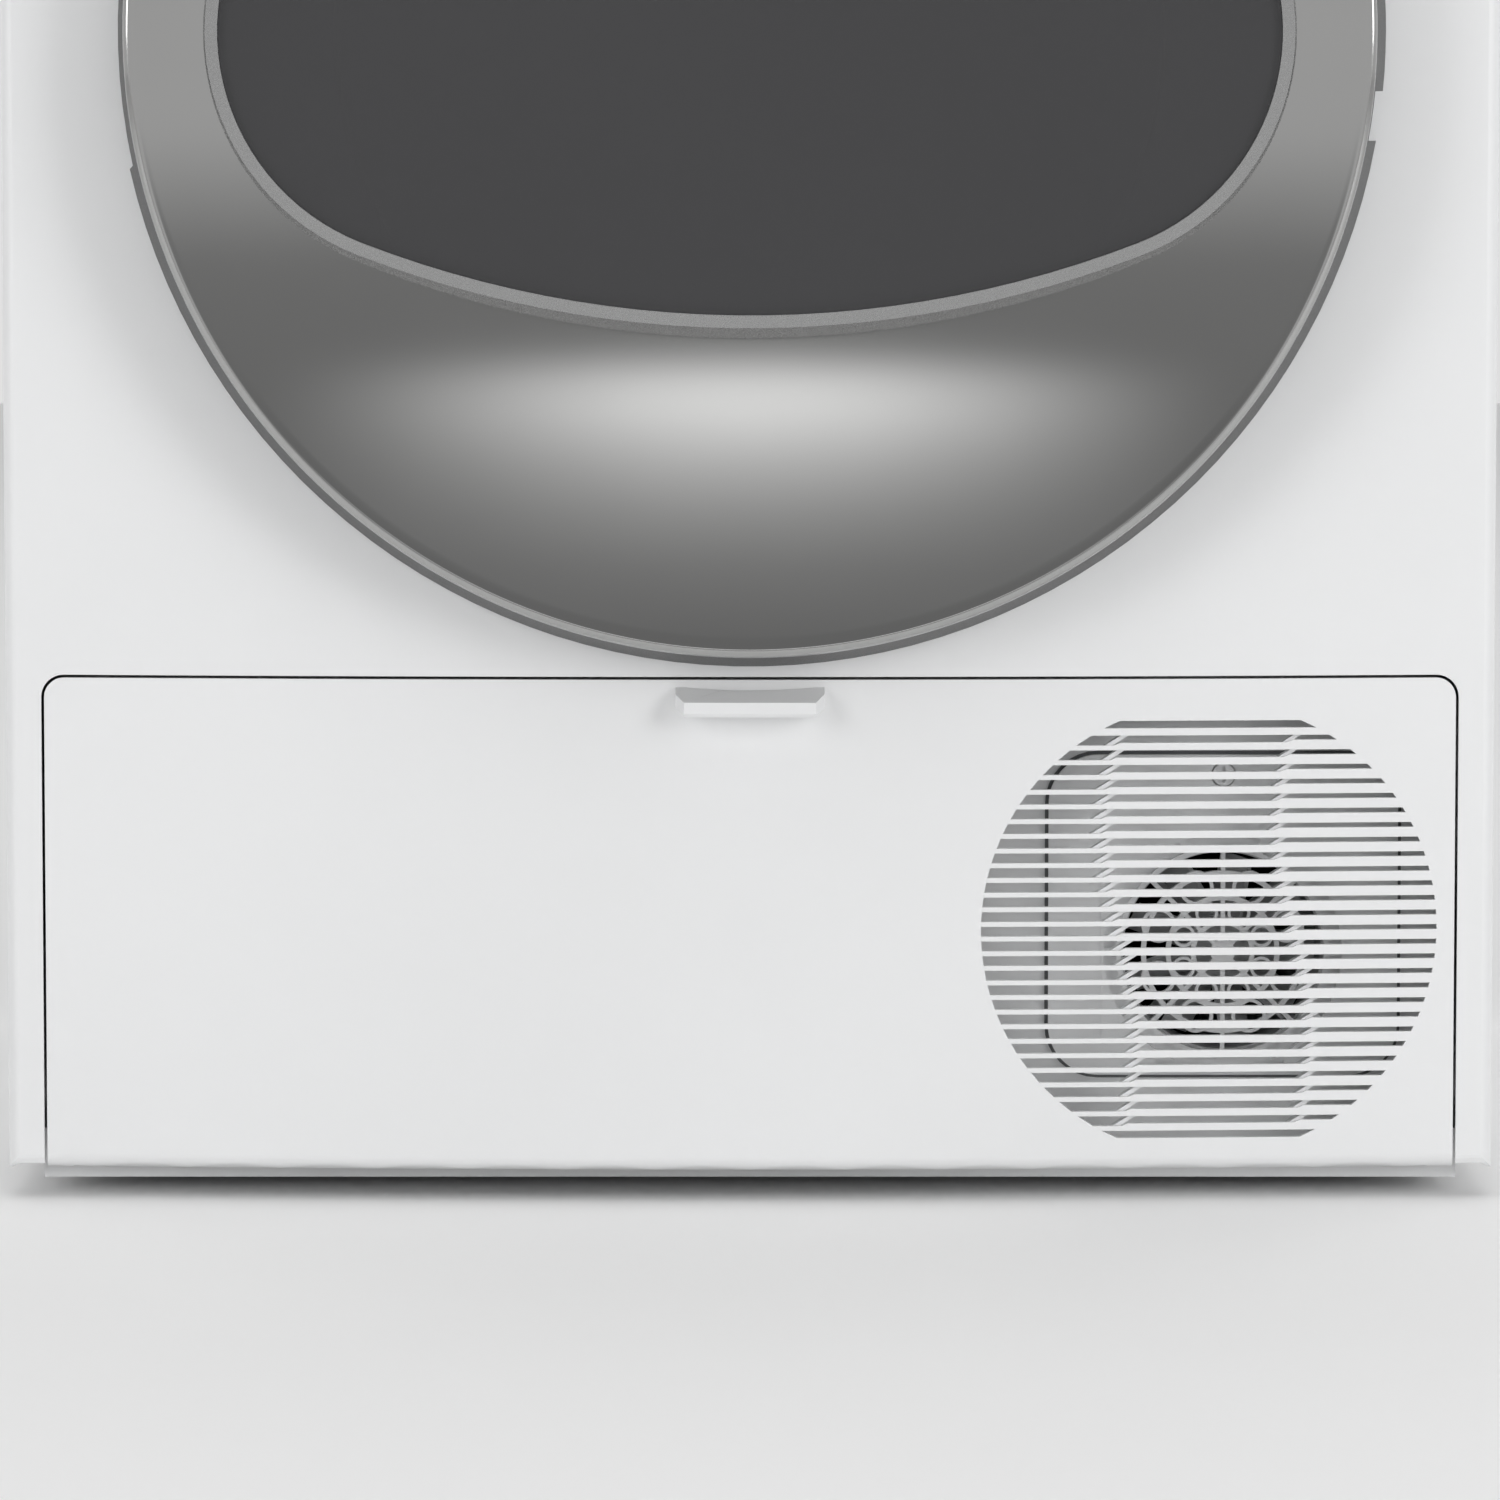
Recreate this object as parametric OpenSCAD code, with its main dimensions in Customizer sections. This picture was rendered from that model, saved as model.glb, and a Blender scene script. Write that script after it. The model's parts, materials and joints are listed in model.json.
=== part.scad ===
// Free-standing heat pump clothes dryer with a round dished door, a water tank drawer, a control
// panel and a fold-down service flap with a round louvred grille.
// Millimetres. +Z is up, the front faces -Y, and the origin is on the floor under the middle.

/* [Cabinet] */
// Width over the side panels
body_w = 598; // [597:1:600]
// Height from the floor to the top of the worktop
body_h = 850; // [846:1:860]
// Depth over everything, door and rear air duct included
total_d = 640; // [640:1:650]
// How far the middle of the front stands ahead of its side edges
front_bulge = 14; // [13:0.5:15]
// Height of the lower edge of the panels above the floor
skirt_z = 12; // [11:1:13]
// Thickness of the painted sheet steel
sheet_t = 1.2; // [1:0.1:1.5]
// Thickness of the worktop
worktop_t = 22; // [18:1:24]
// Height of the control panel
fascia_h = 90; // [88:1:92]

/* [Door] */
// Outer radius of the door
door_r = 252; // [250:1:253]
// Height of the door's centre above the floor
door_z = 468; // [466:1:470]
// How far the door's lip stands ahead of the front's side edges
door_proud = 40; // [40:1:42]
// Depth of the spherical dish below the lip
dish_sag = 34; // [32:1:35]
// Half the width of the oval window
window_a = 215; // [205:1:218]
// Half the height of the oval window
window_b = 116.5; // [110:0.5:120]
// Radius of the oval's upper and lower arcs
window_arc = 430; // [420:5:450]
// Largest angle that the door opens to
door_swing = 100; // [90:1:104]

/* [Drum] */
// Outer radius of the drum
drum_r = 285; // [283:1:286]
// Thickness of the drum's steel
drum_t = 1; // [0.8:0.1:1.2]
// Radius of the round throat that leads into the drum
throat_r = 185; // [180:1:187]
// Number of lifters in the drum
lifter_count = 3; // [2:1:4]

/* [Service flap] */
// Half the width of the flap
flap_x = 283; // [280:0.5:284]
// Height of the flap's top edge
flap_top = 210.5; // [205:0.5:215]
// Wall thickness of the moulded flap
flap_t = 3; // [2.5:0.5:3.5]

/* [Grille] */
// Sideways place of the grille's centre
grille_x = 184.2; // [170:0.1:186]
// Height of the grille's centre
grille_z = 109.6; // [105:0.1:112]
// Radius of the slotted area
grille_r = 91.7; // [80:0.1:92]
// Number of slots
grille_rows = 29; // [15:2:29]
// Distance from one slot to the next
grille_pitch = 5.9; // [5.5:0.1:6]

/* [Cooling fan] */
// Sideways place of the fan's axis
fan_x = 191; // [188:1:194]
// Height of the fan's axis
fan_z = 98; // [96:1:100]
// Radius of the fan's blades
fan_r = 38; // [34:1:39]
// Number of blades
fan_blades = 9; // [5:1:11]

/* [Controls] */
// Sideways place of the programme knob
knob_x = -8; // [-12:1:0]
// Radius of the programme knob
knob_r = 28; // [24:1:30]
// Radius of the power button
power_r = 10; // [8:1:11]
// Radius of the start button
start_r = 13; // [11:1:14]

/* [Hidden] */
$fn = 96;
cut = 0.5; // how far a cutting solid runs past the face it opens

// Main planes
half_w = body_w / 2;
edge_y = door_proud - total_d / 2; // the front's side edges
rear_y = total_d / 2 - 14; // outer face of the rear panel
worktop_z = body_h - worktop_t;
fascia_z = worktop_z - fascia_h;
front_return = 20; // depth of the front panel's folded sides
return_y = edge_y + front_return;

// Bowed front: one large cylinder with a vertical axis
front_r = (half_w * half_w + front_bulge * front_bulge) / (2 * front_bulge);
bow_y = edge_y - front_bulge + front_r;
edge_r = 6; // rounding of the front's vertical edges and of its lower edge
bow_sweep = 11.25; // degrees of the large cylinder that the front parts use
function bow(x) = bow_y - sqrt(front_r * front_r - x * x);

// Door, measured forwards from its flat back
door_back_y = edge_y - front_bulge - 1.5;
door_depth = door_back_y + total_d / 2;
door_wall = 3;
lip_r = door_r - 8;
dish_r = (lip_r * lip_r + dish_sag * dish_sag) / (2 * dish_sag);
dish_centre = door_depth + sqrt(dish_r * dish_r - lip_r * lip_r);
bezel_front = door_depth - 6;
bezel_w = 5;
plug_r = 168;
plug_depth = 30;
panel_hole_r = 205;
hinge_x = 236;
hinge_y = door_back_y - 13;
eye_r = 4.5;
pin_r = 2.2;
lug_low = [door_z - 42, door_z - 24];
lug_high = [door_z + 24, door_z + 42];
latch_x = -226;

// Drum and what carries it
drum_front = -190;
collar_r = 237;
collar_front = -222;
drum_back = 262;
shaft_r = 10;
roller_r = 25;
roller_gap = 0.3;
roller_angle = 30;
roller_dist = collar_r + roller_r + roller_gap;
roller_x = roller_dist * sin(roller_angle);
roller_z = door_z - roller_dist * cos(roller_angle);
axle_r = 4;

// Motor and belt
motor_x = -195;
motor_z = 120;
motor_r = 55;
pulley_r = 8;
belt_t = 2.5;
belt_gap = 0.3;
belt_y = [-52, -40];
idler_r = 12;
idler_pos = [-145.2, 110.4];
tensioner_pos = [-95, 92];

// Base
base_low = 6;
base_top = 26;
base_front = -262;
base_wall_z = 206;
foot_r = 20;
foot_stud_r = 5;
foot_pos = [235, -198, 248]; // sideways, front and rear
flap_low = skirt_z + 0.5;
flap_depth = 13;
flap_hinge = [edge_y + 6, skirt_z + 10.5];
peg_r = 2.5;
ear_x = 268.5;

// Water tank drawer
tank_x = [-283, -93];
tank_z = [751, 812];
tank_y = [edge_y + 14, 190];
tank_face_x = [-284, -92];
tank_face_z = [fascia_z + 6.5, worktop_z - 5.5];

// ---- helpers ----

// A box between two corners
module block(x, y, z) {
  translate([x[0], y[0], z[0]]) cube([x[1] - x[0], y[1] - y[0], z[1] - z[0]]);
}

// A flat shape in X and Z, made solid from y0 to y1
module along_y(y0, y1) {
  translate([0, y1, 0]) rotate([90, 0, 0]) linear_extrude(y1 - y0) children();
}

// A flat shape in Y and Z, made solid from x0 to x1
module along_x(x0, x1) {
  translate([x0, 0, 0]) rotate([90, 0, 90]) linear_extrude(x1 - x0) children();
}

// A flat shape in X and Y, made solid from z0 to z1
module along_z(z0, z1) {
  translate([0, 0, z0]) linear_extrude(z1 - z0) children();
}

// A round bar along Y
module bar_y(x, z, r, y0, y1) {
  translate([x, y1, z]) rotate([90, 0, 0]) cylinder(r = r, h = y1 - y0);
}

// A profile of radius and distance ahead of y, turned about an axis along Y
module turned(x, y, z) {
  translate([x, y, z]) rotate([90, 0, 0]) rotate_extrude() children();
}

// A profile of radius and height, swept along the bowed front
module swept_front() {
  translate([0, bow_y, 0]) rotate([0, 0, -90 - bow_sweep / 2])
    rotate_extrude(angle = bow_sweep, $fn = 256) children();
}

// A rectangle in a plane with four rounded corners
module rounded_rect(x, z, r) {
  translate([x[0] + r, z[0]]) square([x[1] - x[0] - 2 * r, z[1] - z[0]]);
  translate([x[0], z[0] + r]) square([x[1] - x[0], z[1] - z[0] - 2 * r]);
  for (px = [x[0] + r, x[1] - r], pz = [z[0] + r, z[1] - r])
    translate([px, pz]) circle(r = r);
}

// A straight round rod between two points
module rod(a, b, r) {
  d = b - a;
  l = norm(d);
  translate(a) rotate([0, acos(d[2] / l), atan2(d[1], d[0])]) cylinder(r = r, h = l, $fn = 32);
}

// A bent pipe through a list of points, with round elbows
module pipe(points, r) {
  for (i = [0 : len(points) - 2]) rod(points[i], points[i + 1], r);
  for (i = [1 : len(points) - 2]) translate(points[i]) sphere(r = r + 0.5, $fn = 32);
}

// Plan of the bowed front with rounded vertical edges, pulled in by inset, back to y_back
module front_plan(inset, y_back) {
  corner_x = half_w - edge_r;
  corner_y = bow(corner_x) + edge_r;
  intersection() {
    translate([0, bow_y]) circle(r = front_r - inset, $fn = 256);
    union() {
      translate([inset - half_w, corner_y]) square([body_w - 2 * inset, y_back - corner_y]);
      translate([-corner_x, edge_y - front_bulge - 1])
        square([2 * corner_x, y_back - edge_y + front_bulge + 1]);
      for (s = [-1, 1]) translate([s * corner_x, corner_y]) circle(r = edge_r - inset);
    }
  }
}

// A thin shell that follows the bowed front, with folded sides
module front_shell(z0, z1, t) {
  difference() {
    along_z(z0, z1) front_plan(0, return_y);
    along_z(z0 - cut, z1 + cut) front_plan(t, return_y + cut);
  }
}

// Radius of the two smaller arcs of a four-centred oval, and where they meet the larger arcs
function oval_end(a, b, arc) = (a * a + b * b - 2 * arc * b) / (2 * (a - arc));
function oval_meet(a, b, arc) = (a - oval_end(a, b, arc)) * arc / (arc - oval_end(a, b, arc));

// Middle of the oval, between its two larger arcs, which run past their ends by over
module oval_middle(a, b, arc, over = 0) {
  intersection() {
    translate([0, arc - b]) circle(r = arc);
    translate([0, b - arc]) circle(r = arc);
    square([2 * oval_meet(a, b, arc) + 2 * over, 2 * b + 2], center = true);
  }
}

// Four-centred oval: two large arcs joined by two smaller ones
module oval(a, b, arc) {
  oval_middle(a, b, arc);
  for (s = [-1, 1]) translate([s * (a - oval_end(a, b, arc)), 0]) circle(r = oval_end(a, b, arc));
}

// ---- cabinet ----

module base_tray() {
  color("gainsboro") difference() {
    union() {
      block([-286, 286], [base_front, 296], [base_low, base_top]);
      block([-280, 280], [base_front, base_front + 3], [base_low, base_wall_z]);
      for (s = [-1, 1]) base_flap_ear(s);
      tensioner_post();
    }
    bar_y(fan_x, fan_z, 41, base_front - cut, base_front + 3 + cut);
    for (x = [-1, 1], y = [1, 2])
      translate([x * foot_pos[0], foot_pos[y], base_low - cut])
        cylinder(r = foot_stud_r + 0.3, h = base_top);
    for (s = [-1, 1]) along_x(s * ear_x - 6, s * ear_x + 6) translate(flap_hinge) circle(r = peg_r + 0.1);
  }
}

// Ear on the base that carries one end of the flap's hinge
module base_flap_ear(side) {
  x = side * ear_x;
  along_x(x - 2.5, x + 2.5) {
    translate(flap_hinge) circle(r = 5);
    translate([flap_hinge[0], flap_hinge[1] - 5]) square([base_front - flap_hinge[0] + 1, 10]);
  }
}

// Post and pin that the belt tensioner turns on
module tensioner_post() {
  block([tensioner_pos[0] - 6, tensioner_pos[0] + 6], [-34, -26], [base_top - 1, tensioner_pos[1] + 6]);
  bar_y(tensioner_pos[0], tensioner_pos[1], 3, -60, -30);
}

// One side of the cabinet: a sheet with a stamped field and folded flanges
module side_panel(side) {
  field_y = [-205, 235];
  field_z = [95, 770];
  stamp = 3;
  stamp_r = 40;
  flange = 10;
  mirror([side < 0 ? 1 : 0, 0, 0]) {
    difference() {
      block([half_w - sheet_t, half_w], [return_y + 0.5, rear_y - 1.5], [skirt_z + 2, worktop_z - 0.3]);
      along_x(half_w - 2 * sheet_t, half_w + cut) rounded_rect(field_y, field_z, stamp_r);
    }
    difference() {
      along_x(half_w - stamp - sheet_t, half_w) rounded_rect(field_y, field_z, stamp_r);
      along_x(half_w - stamp, half_w + cut) rounded_rect(field_y + [sheet_t, -sheet_t],
        field_z + [sheet_t, -sheet_t], stamp_r - sheet_t);
    }
    block([half_w - flange, half_w - sheet_t / 2], [return_y + 0.5, return_y + 0.5 + sheet_t],
      [skirt_z + 2, worktop_z - 0.3]);
    block([half_w - flange, half_w - sheet_t / 2], [rear_y - 1.5 - sheet_t, rear_y - 1.5],
      [skirt_z + 2, worktop_z - 0.3]);
    block([half_w - flange, half_w - sheet_t / 2], [return_y + 0.5, rear_y - 1.5],
      [skirt_z + 2, skirt_z + 2 + sheet_t]);
  }
}

module side_panel_left() {
  color("white") side_panel(-1);
}

module side_panel_right() {
  color("white") side_panel(1);
}

module rear_panel() {
  color("silver") difference() {
    union() {
      block([-half_w + 1, half_w - 1], [rear_y - sheet_t, rear_y], [skirt_z + 2, worktop_z - 0.3]);
      bar_y(0, door_z, 60, rear_y - 5, rear_y - sheet_t / 2);
    }
    bar_y(-255, 745, 9, rear_y - 3, rear_y + cut);
    bar_y(255, 760, 11, rear_y - 3, rear_y + cut);
    for (x = [150 : 14 : 262], z = [70, 112])
      along_y(rear_y - 3, rear_y + cut) rounded_rect([x - 3, x + 3], [z, z + 34], 2.9);
    along_y(rear_y - 3, rear_y + cut) rear_openings();
  }
}

// Air openings behind the drum and behind the blower, with a spider that carries the bearing
module rear_openings() {
  translate([0, door_z]) difference() {
    circle(r = 195);
    circle(r = 61);
    for (a = [0, 60, 120]) rotate(a) square([420, 18], center = true);
  }
  translate([motor_x, motor_z]) circle(r = 72);
}

// Outline of the rear air duct: a round end over the drum and a neck down to the blower
module duct_plan(grow) {
  r = 215 + grow;
  neck = blower_neck(grow);
  translate([0, door_z]) circle(r = r);
  polygon(neck);
  translate([motor_x, motor_z]) circle(r = 92 + grow);
}

// Corners of the duct's neck, which is tangent to both of its round ends
function blower_neck(grow) =
  let (r1 = 215.1 + grow, r2 = 92.1 + grow, dx = motor_x, dz = motor_z - door_z)
  let (d = norm([dx, dz]), axis = atan2(dz, dx), lean = acos((r1 - r2) / d))
  [for (p = [[0, door_z, r1, 1], [motor_x, motor_z, r2, 1], [motor_x, motor_z, r2, -1], [0, door_z, r1, -1]])
    [p[0] + p[2] * cos(axis + p[3] * lean), p[1] + p[2] * sin(axis + p[3] * lean)]];

module rear_duct_cover() {
  depth = total_d / 2 - rear_y;
  color("silver") difference() {
    union() {
      along_y(rear_y, rear_y + depth) duct_plan(0);
      along_y(rear_y, rear_y + sheet_t) duct_plan(10);
    }
    along_y(rear_y - cut, rear_y + depth - sheet_t) duct_plan(-sheet_t);
  }
}

module top_panel() {
  color("white") along_z(worktop_z, body_h) front_plan(0, rear_y);
}

module front_panel() {
  color("white") difference() {
    front_shell(skirt_z, fascia_z - 0.8, 1.5);
    bar_y(0, door_z, panel_hole_r, edge_y - 30, return_y + cut);
    along_y(edge_y - 30, return_y + cut)
      rounded_rect([-flap_x - 1.2, flap_x + 1.2], [-20, flap_top + 1.2], 9.2);
    for (lug = [lug_low, lug_high])
      block([hinge_x - 3.5, hinge_x + 3.5], [edge_y - 30, edge_y + 5], [lug[0] - 2, lug[1] + 2]);
    block([latch_x - 9, latch_x + 8], [edge_y - 30, edge_y + 5], [door_z - 13, door_z + 13]);
    lower_edge_rounding(skirt_z);
  }
}

// Material outside the lower front edge, which is rounded in short steps
module lower_edge_rounding(z) {
  steps = 5;
  swept_front() polygon(concat(
    [for (i = [0 : steps]) [front_r - edge_r + (edge_r + 0.1) * cos(i * 90 / steps),
      z + edge_r - (edge_r + 0.1) * sin(i * 90 / steps)]],
    [[front_r - edge_r, z - 1], [front_r + 1, z - 1], [front_r + 1, z + edge_r]]
  ));
}

// ---- control panel ----

module control_fascia() {
  color("white") difference() {
    union() {
      front_shell(fascia_z, worktop_z - 0.4, 2.5);
      for (x = [-42, 276], z = [fascia_z + 18, fascia_z + 72]) bar_y(x, z, 3, bow(x) + 1.5, -262);
    }
    along_y(edge_y - 30, edge_y + 10)
      rounded_rect(tank_face_x + [-1, 1], tank_face_z + [-1, 1], 6);
    bar_y(knob_x, fascia_mid(), knob_r - 6, edge_y - 30, edge_y + 10);
    along_y(edge_y - 30, edge_y + 10) rounded_rect(lens_x + [-0.3, 0.3], lens_z + [-0.3, 0.3], 5);
    bar_y(power_x, fascia_mid(), power_r + 0.4, edge_y - 30, edge_y + 10);
    bar_y(start_x, fascia_mid(), start_r + 0.4, edge_y - 30, edge_y + 10);
  }
}

lens_x = [62, 190];
lens_z = [fascia_z + 24, fascia_z + 68];
power_x = 222;
start_x = 260;
function fascia_mid() = fascia_z + fascia_h / 2 + 1;

module display_lens() {
  color("black") intersection() {
    swept_front() translate([front_r - 2.5, lens_z[0] - 2]) square([2.5, lens_z[1] - lens_z[0] + 4]);
    along_y(edge_y - 30, edge_y + 10) rounded_rect(lens_x, lens_z, 5);
  }
}

module control_board() {
  color("green") union() {
    block([-50, 284], [-262, -260.4], [fascia_z + 12, fascia_z + 78]);
    for (x = [70 : 24 : 180]) block([x, x + 12], [-265, -261], [fascia_z + 30, fascia_z + 44]);
    bar_y(knob_x, fascia_mid(), 9, -266.5, -261);
    block([218, 226], [-267, -261], [fascia_mid() - 4, fascia_mid() + 4]);
    block([256, 264], [-266, -261], [fascia_mid() - 4, fascia_mid() + 4]);
  }
}

// Programme knob: a dished cap with a raised grip bar, on a shaft
module program_knob() {
  face_y = bow(knob_x) - 1;
  color("silver") difference() {
    union() {
      turned(knob_x, face_y, fascia_mid()) difference() {
        polygon([[0, 0], [knob_r, 0], [knob_r, 4], [knob_r - 3, 17], [knob_r - 5, 18], [0, 18]]);
        translate([0, 18 + 78]) circle(r = 80);
      }
      bar_y(knob_x, fascia_mid(), 3, face_y - 1, -267.5);
    }
    along_y(face_y - 20, face_y - 14) translate([knob_x - 1.5, fascia_mid() + knob_r - 14])
      square([3, 9]);
  }
}

// A round push button with a shallow hollow and a stem behind it
module push_button(x, r, tip_y) {
  face_y = bow(x);
  difference() {
    union() {
      bar_y(x, fascia_mid(), r, face_y - 2, face_y + 6);
      bar_y(x, fascia_mid(), 3, face_y + 5, tip_y);
    }
    translate([x, face_y - 2 - 58.6, fascia_mid()]) sphere(r = 60);
  }
}

module power_button() {
  color("silver") push_button(power_x, power_r, -269.5);
}

module start_button() {
  color("silver") push_button(start_x, start_r, -268.5);
}

// ---- water tank ----

module tank_sleeve() {
  x = [tank_x[0] - 2.6, tank_x[1] + 2.6];
  y = [edge_y + 18, tank_y[1] + 4];
  color("lightgray") union() {
    block(x, y, [748, 750]);
    for (px = x) block([px - (px == x[0] ? 2 : 0), px + (px == x[0] ? 0 : 2)], y, [748, 806]);
    block(x, [y[1] - 2, y[1]], [748, 806]);
  }
}

module water_tank() {
  color("aliceblue") difference() {
    along_y(tank_y[0], tank_y[1]) rounded_rect(tank_x, tank_z, 6);
    along_y(tank_y[0] + 2, tank_y[1] - 2) rounded_rect(tank_x + [2, -2], tank_z + [2, -2], 4);
    translate([-188, -180, 800]) cylinder(r = 22, h = 20);
  }
}

// Front of the tank drawer, with a finger recess under its upper edge
module tank_front() {
  grip_x = [-238, -138];
  color("white") difference() {
    union() {
      intersection() {
        swept_front() translate([front_r - 4, tank_face_z[0] - 2]) square([4, 90]);
        along_y(edge_y - 30, edge_y + 10) rounded_rect(tank_face_x, tank_face_z, 5);
      }
      along_y(edge_y - 9, tank_y[0]) rounded_rect(grip_x + [-3, 3], [772, 811], 8);
    }
    along_y(edge_y - 30, edge_y + 8) rounded_rect(grip_x, [775, 808], 6);
  }
}

// ---- front bulkhead and door opening ----

module front_bulkhead() {
  well_x = [-106.5, 106.5];
  well_y = [-243, -225.5];
  inner_x = [-103.5, 103.5];
  inner_y = [-240.5, -228];
  color("lightgray") difference() {
    union() {
      along_y(-272, -269) difference() {
        rounded_rect([-288, 288], [215, fascia_z - 5], 12);
        translate([0, door_z]) circle(r = throat_r + 1);
      }
      block([-262, 262], [-271, -259], [213, 215.5]);
      block([-262, 262], [base_front, -259], [base_wall_z, 214]);
      along_y(-272, -224) ring(throat_r, throat_r + 3);
      along_y(-226, -223) bulkhead_flange();
      along_y(-226, -210) ring(229, 232);
      for (s = [-1, 1]) bar_y(s * roller_x, roller_z, axle_r, -224, -206);
      difference() {
        block(well_x, well_y, [160, 320]);
        bar_y(0, door_z, throat_r, -250, -200);
      }
    }
    block(inner_x, inner_y, [163, 330]);
    block([-252, -208], [-273, -260], [434, 502]);
  }
}

// A flat ring round the drum's axis
module ring(r_in, r_out) {
  translate([0, door_z]) difference() {
    circle(r = r_out);
    circle(r = r_in);
  }
}

// Rear wall of the bulkhead, with two ears for the rollers
module bulkhead_flange() {
  difference() {
    union() {
      translate([0, door_z]) circle(r = 232);
      for (s = [-1, 1]) translate([s * roller_x, roller_z]) circle(r = 14);
      for (s = [-1, 1]) translate([s * roller_x, roller_z]) rotate(s * roller_angle)
        translate([-14, 0]) square([28, 40]);
    }
    translate([0, door_z]) circle(r = throat_r + 1);
  }
}

module door_seal() {
  color("dimgray") turned(0, -272, door_z) difference() {
    union() {
      translate([188, 0]) square([14, 12]);
      translate([195, 12]) circle(r = 7);
      translate([191.5, 11]) square([7, 12]);
    }
    translate([195, 12]) circle(r = 3.5);
  }
}

module door_lock() {
  color("ivory") difference() {
    block([latch_x - 22, latch_x + 14], [-281, -258], [door_z - 30, door_z + 30]);
    block([latch_x - 10, latch_x + 8], [-281.5, -262], [door_z - 13, door_z + 13]);
    bar_y(latch_x - 4, door_z + 22, 2, -282, -257);
    bar_y(latch_x - 4, door_z - 22, 2, -282, -257);
  }
}

// Cabinet half of the door hinge: a plate behind the front with two lugs that reach through it
module hinge_bracket() {
  plate_y = [-281.5, -279];
  color("silver") difference() {
    union() {
      block([214, 258], plate_y, [door_z - 84, door_z + 84]);
      for (lug = [lug_low, lug_high]) {
        block([hinge_x - 1.5, hinge_x + 1.5], [hinge_y, plate_y[1] - 0.5], lug);
        translate([hinge_x, hinge_y, lug[0]]) cylinder(r = eye_r, h = lug[1] - lug[0]);
      }
    }
    translate([hinge_x, hinge_y, door_z - 90]) cylinder(r = pin_r, h = 180);
    for (x = [222, 250], z = [door_z - 77, door_z + 77]) bar_y(x, z, 2.5, -282, -278);
  }
}

module hinge_pin() {
  color("silver") translate([hinge_x, hinge_y, lug_low[0] - 1])
    cylinder(r = pin_r, h = lug_high[1] - lug_low[0] + 2);
}

// ---- door ----

module door_dish() {
  end_r = oval_end(window_a, window_b, window_arc);
  color("gray") union() {
    difference() {
      turned(0, door_back_y, door_z) dish_floor();
      along_y(-total_d / 2 - 10, door_back_y + 20) translate([0, door_z])
        oval_middle(window_a, window_b, window_arc, 2);
      for (s = [-1, 1]) bar_y(s * (window_a - end_r), door_z, end_r, -total_d / 2 - 10, door_back_y + 20);
    }
    difference() {
      turned(0, door_back_y, door_z) dish_skirt();
      hinge_notches();
      along_y(door_back_y - 9, door_back_y + cut)
        rounded_rect([-door_r - 10, 10 - door_r], [door_z - 55, door_z + 55], 8);
    }
  }
}

// Half section of the dish's spherical floor
module dish_floor() {
  intersection() {
    difference() {
      translate([0, dish_centre]) circle(r = dish_r + door_wall, $fn = 256);
      translate([0, dish_centre]) circle(r = dish_r, $fn = 256);
    }
    translate([window_b - 14, -20]) square([lip_r - 1.5 - window_b + 14, door_depth + 30]);
  }
}

// Half section of the leaning skirt and its rounded lip
module dish_skirt() {
  polygon([[door_r - 3.2, 0], [door_r, 0], [lip_r + 2.7, door_depth - 2.6],
    [lip_r - 2.3, door_depth - 2.6], [lip_r - 1.2, door_depth - 6]]);
  translate([lip_r + 0.2, door_depth - 2.6]) circle(r = 2.6);
}

// Room in the skirt and the back of the door for the cabinet's hinge lugs as the door swings
module hinge_notches() {
  reach = 1.5 / cos(door_swing - 90) + 10 * tan(door_swing - 90) + 0.5;
  for (lug = [lug_low, lug_high])
    block([hinge_x - 5.5, door_r + 5], [hinge_y - max(reach, 4.9), door_back_y + 1],
      [lug[0] - 0.8, lug[1] + 0.8]);
}

module door_window_bezel() {
  color("silver") difference() {
    along_y(door_back_y - bezel_front, door_back_y + 8) translate([0, door_z]) difference() {
      oval(window_a, window_b, window_arc);
      oval(window_a - bezel_w, window_b - bezel_w, window_arc - bezel_w);
    }
    difference() {
      bar_y(0, door_z, door_r, door_back_y - 3, door_back_y + 9);
      bar_y(0, door_z, plug_r - 3.5, door_back_y - 4, door_back_y + 10);
    }
  }
}

module door_window() {
  inset = bezel_w + 0.05;
  color([0.1, 0.1, 0.12, 0.6])
    along_y(door_back_y - bezel_front + 3, door_back_y - bezel_front + 7)
      translate([0, door_z]) oval(window_a - inset, window_b - inset, window_arc - inset);
}

module door_inner_ring() {
  color("white") difference() {
    turned(0, door_back_y, door_z) {
      translate([plug_r - 3, 0]) square([door_r - 4.4 - plug_r + 3, 2.6]);
      translate([plug_r - 3, -plug_depth]) square([3, plug_depth + 1]);
      translate([plug_r - 10, -plug_depth]) square([8, 3]);
    }
    hinge_notches();
    block([latch_x - 4, latch_x + 4], [door_back_y - 10, door_back_y + cut], [door_z - 10, door_z + 10]);
    along_y(door_back_y - 9, door_back_y + cut)
      rounded_rect([-door_r - 10, 14 - door_r], [door_z - 55, door_z + 55], 8);
  }
}

// Clear bowl that closes the back of the door and keeps the laundry off the window
module door_glass_bowl() {
  bowl_depth = 22;
  rim = plug_r - 10;
  r = (rim * rim + bowl_depth * bowl_depth) / (2 * bowl_depth);
  color([0.8, 0.85, 0.9, 0.35]) turned(0, door_back_y + plug_depth - 3, door_z) {
    intersection() {
      difference() {
        translate([0, r - bowl_depth]) circle(r = r, $fn = 256);
        translate([0, r - bowl_depth]) circle(r = r - 3, $fn = 256);
      }
      translate([0, -40]) square([rim, 40]);
    }
    translate([rim - 4, 0]) square([10.8, 2.5]);
    translate([rim - 6, -2]) square([5.9, 3]);
  }
}

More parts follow.
